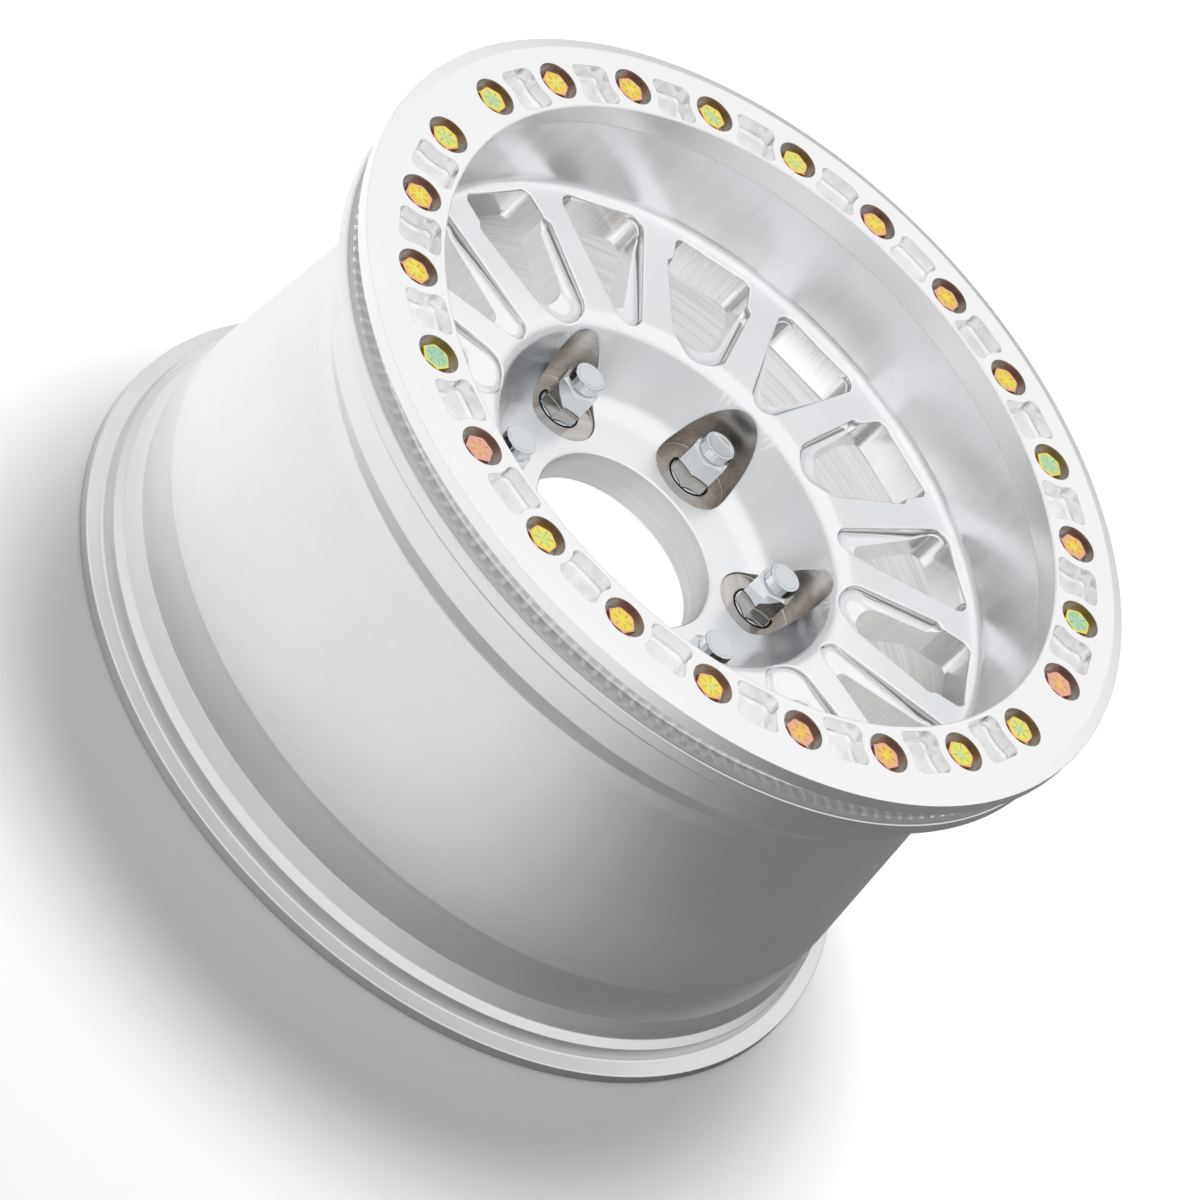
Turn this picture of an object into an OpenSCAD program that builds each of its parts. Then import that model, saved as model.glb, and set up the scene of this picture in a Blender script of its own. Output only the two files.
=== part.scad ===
// Forged off-road wheel with a bolted ring that clamps the outer tyre bead.
// The axis is Z. The hub's mounting face lies at z = 0 and the front of the wheel looks up.

/* [Overall] */
// Height of the clamp ring's front face above the hub's mounting face
front_z = 137; // [125:1:150]
// Depth of the inboard rim edge below the hub's mounting face (backspacing)
back_depth = 118.5; // [100:0.5:140]

/* [Clamp ring] */
// Distance that the ring stands out past the bead seat
ring_overhang = 15.7; // [13:0.1:18]
// Width of the ring's front face, from its bore to its outer edge
ring_w = 45.1; // [43:0.1:47]
// Full thickness of the ring where it sits on the wheel
ring_t = 16.7; // [15:0.1:20]
// Thickness of the outer lip that presses on the tyre bead
lip_t = 10.5; // [8:0.1:12]
// Width of the shallow chamfer round the front of the lip
ring_chamfer_w = 7; // [3:0.5:9]
// Height of the shallow chamfer round the front of the lip
ring_chamfer_h = 2.4; // [1:0.1:4]
// Radius that breaks the ring's fine edges
edge_round = 0.6; // [0.3:0.1:1]

/* [Ring bolts] */
// Number of bolts, evenly spaced
bolt_count = 24; // [16:2:28]
// Distance from the ring's outer edge to the bolts' centres
bolt_inset = 28.2; // [26:0.1:30]
// Diameter of the recess for each bolt head
recess_d = 22.7; // [21.8:0.1:24]
// Depth of the recess below the ring's front face
recess_depth = 10; // [8.5:0.1:11]
// Diameter of the bolt's shank
shank_d = 9.5; // [8:0.1:10]
// Length of the bolt below its head
shank_len = 30; // [22:1:34]
// Width of the bolt's hexagon across its flats
bolt_af = 14.3; // [12:0.1:15]
// Height of the bolt's head
bolt_head_h = 6; // [4:0.1:7]
// Outer diameter of the washer under the head
washer_od = 20; // [17:0.1:21]
// Thickness of the washer
washer_t = 1.6; // [1:0.1:2.5]

/* [Ring pockets] */
// Depth of the lightening pockets between the bolts
pocket_depth = 9.5; // [6:0.1:11]
// Metal left between a pocket and the neighbouring bolt recesses
pocket_wall = 4.9; // [4:0.1:5.5]
// Metal left between the ring's bore and a pocket
pocket_in_wall = 2.9; // [2:0.1:5]
// Width of the pockets from the bore's side to the outer side
pocket_w = 24; // [20:0.1:25]
// Corner radius of the pockets
pocket_round = 4.5; // [3:0.1:5]

/* [Rim] */
// Diameter of the seats for the tyre beads
bead_d = 437; // [434:0.5:440]
// Width of the bead channel between the ring's lip and the front flange
channel_w = 15; // [12:0.5:18]
// Height of the front flange above the bead seat
front_flange_h = 11.9; // [10:0.1:14]
// Thickness of the front flange
front_flange_t = 9; // [7:0.5:11]
// Number of grip ribs on the bead channel's floor
rib_count = 180; // [90:6:200]
// Height of the grip ribs
rib_h = 0.8; // [0.4:0.1:1.2]
// Height of the inboard flange above the bead seat
rear_flange_h = 18.5; // [16:0.1:21]
// Depth of the drop well below the bead seats
well_depth = 12.5; // [10:0.5:16]
// Thickness of the barrel's wall
barrel_wall = 7.5; // [6:0.5:10]

/* [Centre] */
// Height of the spokes' front face above the mounting face
face_z = 67; // [62:0.5:74]
// Thickness of the spokes at the rim
spoke_t = 21.5; // [18:0.5:24]
// Distance that the dish's foot lies outside the ring's bore
dish_step = 4.4; // [3:0.1:6]
// Fillet radius at the foot of the dish
dish_round = 6.5; // [4:0.5:10]
// Height of the hub's front pad above the mounting face
pad_z = 23.6; // [20:0.1:28]
// Radius of the hub's front pad
pad_r = 88; // [84:0.5:92]
// Radius at which the bowl meets the spokes' face
bowl_r = 106; // [102:0.5:108]
// Fillet radius at the bottom of the bowl
bowl_round = 16; // [8:0.5:18]
// Rounding at the lip of the bowl
bowl_lip_round = 10; // [6:0.5:16]
// Diameter of the centre bore
bore_d = 108; // [100:0.1:112]
// Diameter of the mounting face at the back
mount_d = 200; // [190:1:210]
// Radius at which the back of the spokes reaches its full lift
back_r = 152; // [140:1:165]

/* [Lug seats and nuts] */
// Number of lug holes
lug_count = 6; // [5:1:6]
// Diameter of the lug circle
lug_circle_d = 165.1; // [160:0.1:170]
// Diameter of the tool pocket round each lug nut
tool_d = 43; // [38:0.5:44]
// Depth of the tool pockets below the hub's front pad
tool_depth = 1.5; // [0.5:0.1:3]
// Diameter of the recess that takes the foot of the nut
foot_d = 24.6; // [24:0.1:27]
// Depth of that recess below the tool pocket
foot_sink = 1.8; // [1:0.1:3]
// Diameter of the stud hole
stud_hole_d = 15.6; // [15:0.1:17]
// Width of the lug nut's hexagon across its flats
nut_af = 20.6; // [19:0.1:21]
// Height of the nut's hexagon
nut_hex_h = 21; // [18:0.5:26]
// Diameter of the nut's round cap
nut_cap_d = 18; // [16:0.1:19]
// Height of the nut's round cap
nut_cap_h = 7; // [4:0.5:9]
// Diameter of the nut's threaded bore
nut_bore_d = 12.4; // [11.8:0.1:13]

/* [Spoke windows] */
// Number of windows, wedges and arches taking turns
window_count = 16; // [12:2:16]
// Width of the ledge between the windows and the dish
window_ledge = 5.5; // [5:0.1:9]
// Half of the angle between the sides of a wedge
wedge_half_angle = 15.5; // [13:0.5:16]
// Radius at the inner end of a wedge
wedge_tip_r = 108.6; // [108:0.2:116]
// Rounding of a wedge's inner end
wedge_tip_round = 8.9; // [6:0.1:9.5]
// Rounding of a wedge's outer corners
wedge_corner_round = 7.5; // [5:0.1:9]
// Half width of an arch at its outer edge
arch_half_w = 24.1; // [22:0.1:25]
// Half width of an arch's scoop where it is widest
arch_scoop_half_w = 26.9; // [25.4:0.1:27]
// Length of the plain outer part of an arch, before its scoop starts
arch_head = 18; // [15:0.5:22]
// Radius at the inner end of an arch
arch_tip_r = 106.4; // [106:0.2:112]
// Half width of an arch at its inner end
arch_tip_half_w = 14.4; // [13:0.1:15]
// Depth of the scoop round the windows
scoop_depth = 7; // [4:0.5:10]
// Reach of the scoop at the windows' inner ends
scoop_end = 16; // [12:0.5:18]
// Reach of the scoop along the windows' sides
scoop_side = 3.6; // [2:0.1:5]
// Reach below which the scoop grows shallower, so that it fades toward the outer corners
scoop_fade = 2; // [1:0.1:3]

/* [Valve] */
// Position of the valve round the wheel
valve_angle = 7.5; // [5:0.5:10]
// Diameter of the valve hole
valve_hole_d = 11.5; // [11:0.1:12]
// Diameter of the flat seats round the ends of the valve hole
valve_seat_d = 18; // [17:0.5:19]
// Depth from the inner seat to the outer seat of the valve
valve_grip = 14; // [12:0.5:15]
// Thickness of the rubber seal's flange
valve_seal_t = 1.5; // [1:0.1:2]
// Diameter of the cap
valve_cap_d = 8.8; // [8:0.1:10]
// Length of the cap
valve_cap_len = 9.5; // [8:0.5:11]
// Width of the valve's nut across its flats
valve_nut_af = 13; // [12:0.5:14]
// Thickness of the valve's nut
valve_nut_t = 4; // [3:0.5:5]

/* [Fits] */
// Clearance between parts that seat on each other
seat_gap = 0.05; // [0.02:0.01:0.15]
// Clearance round parts that pass through holes
slide_gap = 0.3; // [0.2:0.05:0.5]

/* [Hidden] */
$fn = 96;
eps = 0.01;

over = 1;
tool_cut = 20;

bead_r = bead_d / 2;
ring_r = bead_r + ring_overhang;
ring_bore_r = ring_r - ring_w;
front_flange_r = bead_r + front_flange_h;
rear_flange_r = bead_r + rear_flange_h;
well_r = bead_r - well_depth;
seam_z = front_z - ring_t;
lip_back_z = front_z - lip_t;
wall_z = lip_back_z - channel_w;
bolt_r = ring_r - bolt_inset;
pocket_in_r = ring_bore_r + pocket_in_wall;
pocket_out_r = pocket_in_r + pocket_w;
bolt_step = 360 / bolt_count;
bolt_start = bolt_step / 2;
recess_z = front_z - recess_depth;
head_z = recess_z + seat_gap + washer_t + seat_gap;
dish_draft = 2;
dish_r = ring_bore_r + dish_step;
dish_seam_r = dish_r - dish_draft;
window_out_r = dish_r - window_ledge;
rear_z = -back_depth;
back_z = face_z - spoke_t;
lug_r = lug_circle_d / 2;
lug_start = 30;
lug_step = 360 / lug_count;
tool_z = pad_z - tool_depth;
foot_z = tool_z - foot_sink;
seat_angle = 30;
nut_collar_d = foot_d - 2;
cone_h = (nut_collar_d - stud_hole_d) / 2 / tan(seat_angle);
window_step = 360 / window_count;
arch_notch_r = window_out_r - arch_head;
bare_pockets = [0, bolt_count / 2];

// Points of an outline whose corners [x, y, radius] are rounded by arcs.
function unit(v) = v / norm(v);
function flat(p) = [p[0], p[1]];
function turn(a, b) = let (d = b - a) d > 180 ? d - 360 : d < -180 ? d + 360 : d;
function arc_between(centre, from, to, n) =
    let (a0 = atan2(from[1] - centre[1], from[0] - centre[0]))
    let (a1 = atan2(to[1] - centre[1], to[0] - centre[0]))
    let (sweep = turn(a0, a1), r = norm(from - centre))
    [for (i = [0 : n]) centre + r * [cos(a0 + sweep * i / n), sin(a0 + sweep * i / n)]];
function corner(before, at, after, r, n) =
    let (u = unit(before - at), w = unit(after - at))
    let (half = acos(u * w) / 2, reach = r / tan(half))
    arc_between(at + unit(u + w) * r / sin(half), at + u * reach, at + w * reach, n);
function rounded(points, n = 4) =
    let (m = len(points))
    [for (i = [0 : m - 1])
        let (p = points[i], before = flat(points[(i + m - 1) % m]), after = flat(points[(i + 1) % m]))
        each p[2] > 0 ? corner(before, flat(p), after, p[2], n) : [flat(p)]];

// Outline of a pocket between two bolt recesses, with x round the ring and y outward.
// Its sides are arcs about the two neighbouring bolts.
bolt_side = [bolt_r * sin(bolt_step / 2), bolt_r * cos(bolt_step / 2)];
pocket_side_r = recess_d / 2 + pocket_wall;
function pocket_corner_x(y) =
    bolt_side[0] - sqrt(pow(pocket_side_r + pocket_round, 2) - pow(y - bolt_side[1], 2));
function pocket_half() =
    let (y1 = pocket_out_r - pocket_round, y0 = pocket_in_r + pocket_round)
    let (c1 = [pocket_corner_x(y1), y1], c0 = [pocket_corner_x(y0), y0])
    let (t1 = c1 + pocket_round * unit(bolt_side - c1), t0 = c0 + pocket_round * unit(bolt_side - c0))
    concat(
        arc_between(c1, c1 + [0, pocket_round], t1, 4),
        arc_between(bolt_side, t1, t0, 4),
        arc_between(c0, t0, c0 - [0, pocket_round], 4));
function mirrored(points) = [for (i = [len(points) - 1 : -1 : 0]) [-points[i][0], points[i][1]]];

// Outlines of the windows in a spoke's own frame, with x round the wheel and y outward.
// "near" is the edge on the spokes' face and "through" is the cut that goes right through.
wedge_apex = wedge_tip_r + wedge_tip_round - wedge_tip_round / sin(wedge_half_angle);
wedge_half_w = (window_out_r - wedge_apex) * tan(wedge_half_angle);
wedge_through_round = wedge_tip_round - scoop_side;
wedge_through_tip = wedge_tip_r + scoop_end;
function through_apex(half_angle) =
    wedge_through_tip + wedge_through_round - wedge_through_round / sin(half_angle);
through_lean = 3;
wedge_through_angle = atan(wedge_half_w / (window_out_r - through_apex(wedge_half_angle + through_lean)));
function wedge(apex, tip_round) = rounded([
    [wedge_half_w, window_out_r, wedge_corner_round],
    [0, apex, tip_round],
    [-wedge_half_w, window_out_r, wedge_corner_round]], 6);
wedge_near = wedge(wedge_apex, wedge_tip_round);
wedge_through = wedge(through_apex(wedge_through_angle), wedge_through_round);

arch_inset = 0.5;
arch_corner_round = 5;
notch_round = 1.5;
notch_len = 4;
tip_flat = 0.4;
function arch(notch_w, tip_w, tip_r, widest_r) =
    let (lean = atan((notch_w - tip_w) / (widest_r - tip_r)))
    let (tip_round = (tip_w - tip_flat) * tan(45 + lean / 2))
    let (right = [
        [arch_half_w, window_out_r - arch_inset, arch_corner_round],
        [arch_half_w, arch_notch_r, notch_round],
        [notch_w, widest_r, notch_round],
        [tip_w, tip_r, tip_round]])
    rounded(concat(right, [for (i = [len(right) - 1 : -1 : 0])
        [-right[i][0], right[i][1], right[i][2]]]), 4);
arch_through_w = arch_half_w - scoop_side / 3;
arch_near = arch(arch_scoop_half_w, arch_tip_half_w, arch_tip_r, arch_notch_r - notch_len);
arch_through = arch(arch_through_w, arch_tip_half_w - scoop_side / 2, arch_tip_r + scoop_end,
    arch_notch_r - 1.5 * notch_len);

// Section of the wheel as corners [radius, height, rounding], from the bore round the outside.
// The slope between the front bead seat and the drop well carries the valve.
well_z = 50;
well_w = 10;
seat_rise = 1;
wall_fillet = 2.5;
front_seat_w = 23.8;
front_seat_z = wall_z - front_flange_t - 2;
slope_top = [bead_r - 2 * seat_rise, front_seat_z - front_seat_w];
slope_foot = [well_r, well_z + 2 + well_w];
slope_lean = atan2(slope_top[1] - slope_foot[1], slope_top[0] - slope_foot[0]);
valve_point = slope_foot + 0.4 * (slope_top - slope_foot);
// The barrel is a cone from the well to the inboard bead seat. A curved wall then runs out
// to the inboard flange, in steps [outward, down] from the seat's edge.
rear_hump = 0.6;
rear_seat_w = 22;
rear_seat_z = rear_z + 30;
rear_ease = 4;
rear_wall = [[3.9, 11], [7.7, 14.7], [9, 22.8]];
rear_lip_t = 6.2;
rear_lip_lean = 0.6;
rear_throat_r = bead_r + 7;
inner_r = bead_r - barrel_wall;
// The mounting face steps down to the back of the spokes.
mount_step = [4, 6];
bore_edge = 0.8;
wheel_section = [
    [bore_d / 2, 0, bore_edge],
    [bore_d / 2, pad_z, bore_edge],
    [pad_r, pad_z, bowl_round],
    [bowl_r, face_z, bowl_lip_round],
    [dish_r, face_z, dish_round],
    [dish_seam_r, seam_z, edge_round],
    [bead_r, seam_z, 0],
    [bead_r, wall_z, wall_fillet],
    [front_flange_r, wall_z, 1],
    [front_flange_r, wall_z - front_flange_t, 3],
    [bead_r - seat_rise, front_seat_z, 3],
    [slope_top[0], slope_top[1], 1.5],
    [slope_foot[0], slope_foot[1], 6],
    [well_r, well_z + 2, 6],
    [bead_r - rear_hump, rear_seat_z + rear_seat_w + rear_ease, 6],
    [bead_r - rear_hump, rear_seat_z + rear_seat_w, 3],
    [bead_r, rear_seat_z, 0],
    [bead_r + rear_wall[0][0], rear_seat_z - rear_wall[0][1], 2],
    [bead_r + rear_wall[1][0], rear_seat_z - rear_wall[1][1], 1],
    [bead_r + rear_wall[2][0], rear_seat_z - rear_wall[2][1], 1.5],
    [rear_flange_r - rear_lip_lean, rear_z + rear_lip_t, 1],
    [rear_flange_r, rear_z, 1.5],
    [rear_throat_r, rear_z, 2],
    [inner_r, rear_z + 20, 12],
    [inner_r - rear_hump, rear_z + 50, 20],
    [well_r - barrel_wall, back_z, 12],
    [back_r, back_z, 30],
    [mount_d / 2 + mount_step[0], mount_step[1], mount_step[1]],
    [mount_d / 2, 0, 1]];

// Grip ribs: a toothed band that covers the channel's floor above the fillet at its wall.
rib_pitch = 360 / rib_count;
rib_base = bead_r + 0.02;
rib_foot_z = wall_z + wall_fillet + eps;
function on_circle(r, share, i) =
    r * [cos(rib_pitch * (i + share)), sin(rib_pitch * (i + share))];
module grip_ribs() {
    translate([0, 0, rib_foot_z])
        linear_extrude(height = seam_z - edge_round - eps - rib_foot_z)
            difference() {
                polygon([for (i = [0 : rib_count - 1]) each [
                    on_circle(rib_base, 0, i),
                    on_circle(rib_base + rib_h, 0.3, i),
                    on_circle(rib_base, 0.6, i)]]);
                circle(r = inner_r, $fn = 180);
            }
}

// Cutter for one window: a concave scoop from the near outline down to the through outline.
// It is full deep where it reaches far in, and runs out where the two outlines meet. Its flat
// end lies inside the through cut.
scoop_levels = 3;
scoop_least = 0.08;
end_shrink = 0.15;
function middle(points) = [for (i = [0 : len(points) - 1]) 1] * points / len(points);
module scoop(near, through) {
    m = len(near);
    end = [for (p = through) p + (middle(through) - p) * end_shrink];
    steps = [for (k = [0 : scoop_levels]) 90 * k / scoop_levels];
    depth = [for (i = [0 : m - 1])
        scoop_depth * min(1, max(scoop_least, norm(through[i] - near[i]) / scoop_fade))];
    layers = concat(
        [[for (p = near) [p[0], p[1], face_z + tool_cut]]],
        [for (a = steps) [for (i = [0 : m - 1])
            let (p = near[i] + (through[i] - near[i]) * (1 - cos(a)))
            [p[0], p[1], face_z - depth[i] * sin(a)]]],
        [[for (p = end) [p[0], p[1], face_z - scoop_depth - over]]]);
    points = [for (layer = layers) each layer];
    last = (len(layers) - 1) * m;
    sides = [for (k = [0 : len(layers) - 2], i = [0 : m - 1])
        let (a = k * m + i, b = k * m + (i + 1) % m)
        each [[a, b + m, b], [a, a + m, b + m]]];
    polyhedron(points, concat(
        [[for (i = [0 : m - 1]) i]], sides, [[for (i = [m - 1 : -1 : 0]) last + i]]));
}
module window(near, through) {
    scoop(near, through);
    translate([0, 0, -over])
        linear_extrude(height = face_z + 2 * over)
            polygon(through);
}

module around(count, start = 0) {
    for (i = [0 : count - 1])
        rotate([0, 0, start + 360 / count * i])
            children();
}

// The valve's axis stands square on the slope; z = 0 is its outer seat and +z looks into the dish.
valve_seat_in = 0.6;
module valve_place() {
    rotate([0, 0, valve_angle])
        translate([valve_point[0], 0, valve_point[1]])
            rotate([0, slope_lean - 90, 0])
                translate([0, 0, valve_seat_in])
                    children();
}
module valve_holes() {
    translate([0, 0, -over])
        cylinder(d = valve_hole_d, h = valve_grip + 2 * over);
    translate([0, 0, -tool_cut])
        cylinder(d = valve_seat_d, h = tool_cut);
    translate([0, 0, valve_grip])
        cylinder(d = valve_seat_d, h = tool_cut);
}

module lug_seat() {
    translate([lug_r, 0, tool_z])
        cylinder(d = tool_d, h = face_z);
    translate([lug_r, 0, foot_z])
        cylinder(d = foot_d, h = tool_z);
    translate([lug_r, 0, foot_z - cone_h])
        cylinder(d1 = stud_hole_d, d2 = nut_collar_d, h = cone_h + eps);
    translate([lug_r, 0, -over])
        cylinder(d = stud_hole_d, h = foot_z);
}

module wheel() {
    color([0.86, 0.87, 0.89])
    difference() {
        union() {
            rotate_extrude($fn = 180)
                polygon(rounded(wheel_section));
            grip_ribs();
        }
        around(window_count / 2, -90)
            window(wedge_near, wedge_through);
        around(window_count / 2, window_step - 90)
            window(arch_near, arch_through);
        around(lug_count, lug_start)
            lug_seat();
        around(bolt_count, bolt_start)
            translate([bolt_r, 0, head_z - shank_len - 2 * over])
                cylinder(d = shank_d + 2 * seat_gap, h = shank_len);
        valve_place()
            valve_holes();
    }
}

module ring_pocket() {
    translate([0, 0, front_z - pocket_depth])
        linear_extrude(height = pocket_depth + over)
            polygon(concat(pocket_half(), mirrored(pocket_half())));
}

recess_edge = 0.5;
ring_section = [
    [ring_bore_r, front_z, edge_round],
    [ring_r - ring_chamfer_w, front_z, edge_round],
    [ring_r, front_z - ring_chamfer_h, edge_round],
    [ring_r, lip_back_z, 1],
    [bead_r, lip_back_z, 0],
    [bead_r, seam_z, 0],
    [dish_seam_r, seam_z, 0.3]];

module beadlock_ring() {
    color([0.92, 0.92, 0.93])
    difference() {
        rotate_extrude($fn = 180)
            polygon(rounded(ring_section));
        around(bolt_count, bolt_start)
            translate([bolt_r, 0, 0]) {
                translate([0, 0, recess_z])
                    cylinder(d = recess_d, h = recess_depth + over);
                translate([0, 0, front_z - recess_edge])
                    cylinder(d1 = recess_d, d2 = recess_d + 4 * recess_edge, h = 2 * recess_edge);
                translate([0, 0, seam_z - over])
                    cylinder(d = shank_d + 2 * slide_gap, h = ring_t);
            }
        for (i = [0 : bolt_count - 1])
            if (i != bare_pockets[0] && i != bare_pockets[1])
                rotate([0, 0, bolt_step * i - 90])
                    ring_pocket();
    }
}

// Grip outline of the valve cap, a ring of small teeth.
cap_teeth = 20;
cap_outline = [for (i = [0 : 2 * cap_teeth - 1])
    let (a = 180 / cap_teeth * i, r = valve_cap_d / 2 - (i % 2 == 0 ? 0 : 0.35))
    r * [cos(a), sin(a)]];

// Hexagon prism with its corners turned down at the top.
head_bevel = 25;
module hex_head(af, h, top_d) {
    intersection() {
        cylinder(d = af / cos(30), h = h, $fn = 6);
        rotate_extrude()
            polygon([[0, 0], [af, 0], [af, h - (af - top_d / 2) * tan(head_bevel)], [top_d / 2, h], [0, h]]);
    }
}

bolt_top = 0.96;
module ring_bolt() {
    hex_head(bolt_af, bolt_head_h, bolt_af * bolt_top);
    translate([0, 0, -shank_len])
        cylinder(d = shank_d, h = shank_len + eps);
}

bolt_turn = 25;
module ring_bolts() {
    color([0.88, 0.74, 0.22])
    for (i = [0 : bolt_count - 1])
        rotate([0, 0, bolt_start + bolt_step * i])
            translate([bolt_r, 0, head_z])
                rotate([0, 0, bolt_turn * i])
                    ring_bolt();
}

module ring_washers() {
    color([0.80, 0.66, 0.20])
    around(bolt_count, bolt_start)
        translate([bolt_r, 0, recess_z + seat_gap])
            difference() {
                cylinder(d = washer_od, h = washer_t);
                translate([0, 0, -over])
                    cylinder(d = shank_d + 2 * slide_gap, h = washer_t + 2 * over);
            }
}

// Closed nut with a conical foot; z = 0 is the rim of its seat's cone.
collar_h = 2;
cap_edge = 0.6;
drill_tip = 3;
module lug_nut() {
    cap_z = collar_h + nut_hex_h;
    bore_end = cap_z - drill_tip - over;
    difference() {
        union() {
            translate([0, 0, collar_h / 2])
                hex_head(nut_af, nut_hex_h + collar_h / 2, nut_cap_d);
            translate([0, 0, cap_z - over])
                cylinder(d = nut_cap_d, h = nut_cap_h + over - cap_edge);
            translate([0, 0, cap_z + nut_cap_h - cap_edge])
                cylinder(d1 = nut_cap_d, d2 = nut_cap_d - 2 * cap_edge, h = cap_edge);
            cylinder(d = nut_collar_d, h = collar_h);
            translate([0, 0, over - cone_h])
                cylinder(d1 = stud_hole_d + 2 * over * tan(seat_angle), d2 = nut_collar_d,
                    h = cone_h - over + eps);
        }
        translate([0, 0, -cone_h])
            cylinder(d = nut_bore_d, h = cone_h + bore_end);
        translate([0, 0, bore_end - eps])
            cylinder(d1 = nut_bore_d, d2 = nut_bore_d / 3, h = drill_tip);
    }
}

nut_turn = 4;
module lug_nuts() {
    color([0.82, 0.84, 0.86])
    for (i = [0 : lug_count - 1])
        rotate([0, 0, lug_start + lug_step * i])
            translate([lug_r, 0, foot_z + seat_gap])
                rotate([0, 0, nut_turn * i])
                    lug_nut();
}

// Valve stem: a foot on the tyre side, a body through the wall and a nipple inside the cap.
stem_d = 8.6;
nipple_d = 6.4;
air_d = 3.4;
foot_t = 2.5;
seal_z = -valve_seal_t - seat_gap / 2;
nut_base = valve_grip + seat_gap;
cap_base = nut_base + valve_nut_t + 0.8;
nipple_end = cap_base + valve_cap_len - 2.5;
module valve_stem() {
    color([0.75, 0.74, 0.70])
    valve_place()
        difference() {
            union() {
                translate([0, 0, seal_z - seat_gap / 2 - foot_t])
                    cylinder(d = valve_seat_d - 3, h = foot_t);
                translate([0, 0, seal_z - foot_t / 2])
                    cylinder(d = stem_d, h = cap_base - seal_z + foot_t / 2 - 0.4);
                cylinder(d = nipple_d, h = nipple_end);
            }
            translate([0, 0, -tool_cut])
                cylinder(d = air_d, h = nipple_end + 2 * tool_cut);
        }
}

// Rubber seal: a flange on the seat and a sleeve that fills the hole round the stem.
module valve_seal() {
    color([0.08, 0.08, 0.08])
    valve_place()
        difference() {
            union() {
                translate([0, 0, seal_z])
                    cylinder(d = valve_seat_d - 1, h = valve_seal_t);
                translate([0, 0, seal_z + valve_seal_t / 2])
                    cylinder(d = valve_hole_d - 2 * seat_gap, h = valve_grip - 4);
            }
            translate([0, 0, -tool_cut])
                cylinder(d = stem_d + 2 * seat_gap, h = valve_grip + 2 * tool_cut);
        }
}

valve_nut_top = 0.94;
module valve_nut() {
    color([0.70, 0.70, 0.72])
    valve_place()
        translate([0, 0, nut_base])
            difference() {
                hex_head(valve_nut_af, valve_nut_t, valve_nut_af * valve_nut_top);
                translate([0, 0, -over])
                    cylinder(d = stem_d + 2 * seat_gap, h = valve_nut_t + 2 * over);
            }
}

// Valve core inside the nipple: a plug with a pin.
core_len = 7;
pin_d = 1.2;
pin_len = 0.8;
module valve_core() {
    color([0.80, 0.68, 0.36])
    valve_place() {
        translate([0, 0, nipple_end - core_len - over])
            cylinder(d = air_d - 2 * seat_gap, h = core_len);
        translate([0, 0, nipple_end - over - eps])
            cylinder(d = pin_d, h = pin_len);
    }
}

cap_crown = 1;
module valve_cap() {
    color([0.55, 0.55, 0.57])
    valve_place()
        difference() {
            union() {
                translate([0, 0, cap_base])
                    linear_extrude(height = valve_cap_len - cap_crown)
                        polygon(cap_outline);
                translate([0, 0, cap_base + valve_cap_len - cap_crown - eps])
                    cylinder(d1 = valve_cap_d - 0.6, d2 = valve_cap_d - 2, h = cap_crown);
            }
            translate([0, 0, cap_base - over])
                cylinder(d = nipple_d + 2 * seat_gap, h = valve_cap_len - cap_crown);
        }
}

wheel();
beadlock_ring();
ring_bolts();
ring_washers();
lug_nuts();
valve_stem();
valve_seal();
valve_nut();
valve_core();
valve_cap();
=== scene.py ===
"""Looks of a forged off-road wheel whose outer tyre bead is clamped by a bolted ring.

The wheel, ring, bolts and nuts are surfaces worked out with numpy from the same sizes as
the solids: outlines with rounded corners, profiles turned round the axis, and fillets that
follow each cut edge. Lengths here are in millimetres and become metres as a mesh is made.
"""

import logging
from dataclasses import dataclass
from enum import Enum
from math import acos, atan, atan2, cos, hypot, pi, radians, sin, sqrt, tan, tau
from typing import Callable, Sequence

import bpy
import numpy as np
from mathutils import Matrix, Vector
from mathutils.geometry import delaunay_2d_cdt


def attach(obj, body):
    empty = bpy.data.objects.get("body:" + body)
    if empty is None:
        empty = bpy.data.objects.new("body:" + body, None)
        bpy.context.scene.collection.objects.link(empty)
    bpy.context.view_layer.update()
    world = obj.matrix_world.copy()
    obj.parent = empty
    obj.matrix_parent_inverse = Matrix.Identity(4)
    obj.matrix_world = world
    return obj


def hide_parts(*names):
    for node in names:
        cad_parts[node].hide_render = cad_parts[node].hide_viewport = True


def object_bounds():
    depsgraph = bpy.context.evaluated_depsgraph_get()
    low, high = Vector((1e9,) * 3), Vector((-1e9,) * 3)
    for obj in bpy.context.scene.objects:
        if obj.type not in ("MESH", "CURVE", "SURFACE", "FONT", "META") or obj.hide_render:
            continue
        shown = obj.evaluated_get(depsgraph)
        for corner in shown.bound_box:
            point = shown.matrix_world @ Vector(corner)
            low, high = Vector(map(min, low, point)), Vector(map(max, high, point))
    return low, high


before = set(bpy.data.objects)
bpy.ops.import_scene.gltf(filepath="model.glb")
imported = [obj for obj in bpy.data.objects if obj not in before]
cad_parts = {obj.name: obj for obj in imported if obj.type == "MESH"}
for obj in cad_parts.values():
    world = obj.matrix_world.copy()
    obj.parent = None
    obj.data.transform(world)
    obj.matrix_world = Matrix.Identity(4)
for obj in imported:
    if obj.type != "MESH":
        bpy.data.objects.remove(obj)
CAD_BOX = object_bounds()

LOG = logging.getLogger("wheel")
MM = 0.001
WELD = 2000  # Steps to a millimetre in which equal points are joined.
Array = np.ndarray
Rows = Sequence[Sequence[float]]
Height = Callable[[Array], Array]
Surface = Callable[[Array], tuple[Array, Array]]


# Outlines and profiles

def unit(v: Array) -> Array:
    """Vectors scaled to length one along their last axis."""
    return v / np.maximum(np.linalg.norm(v, axis=-1, keepdims=True), 1e-12)


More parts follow.
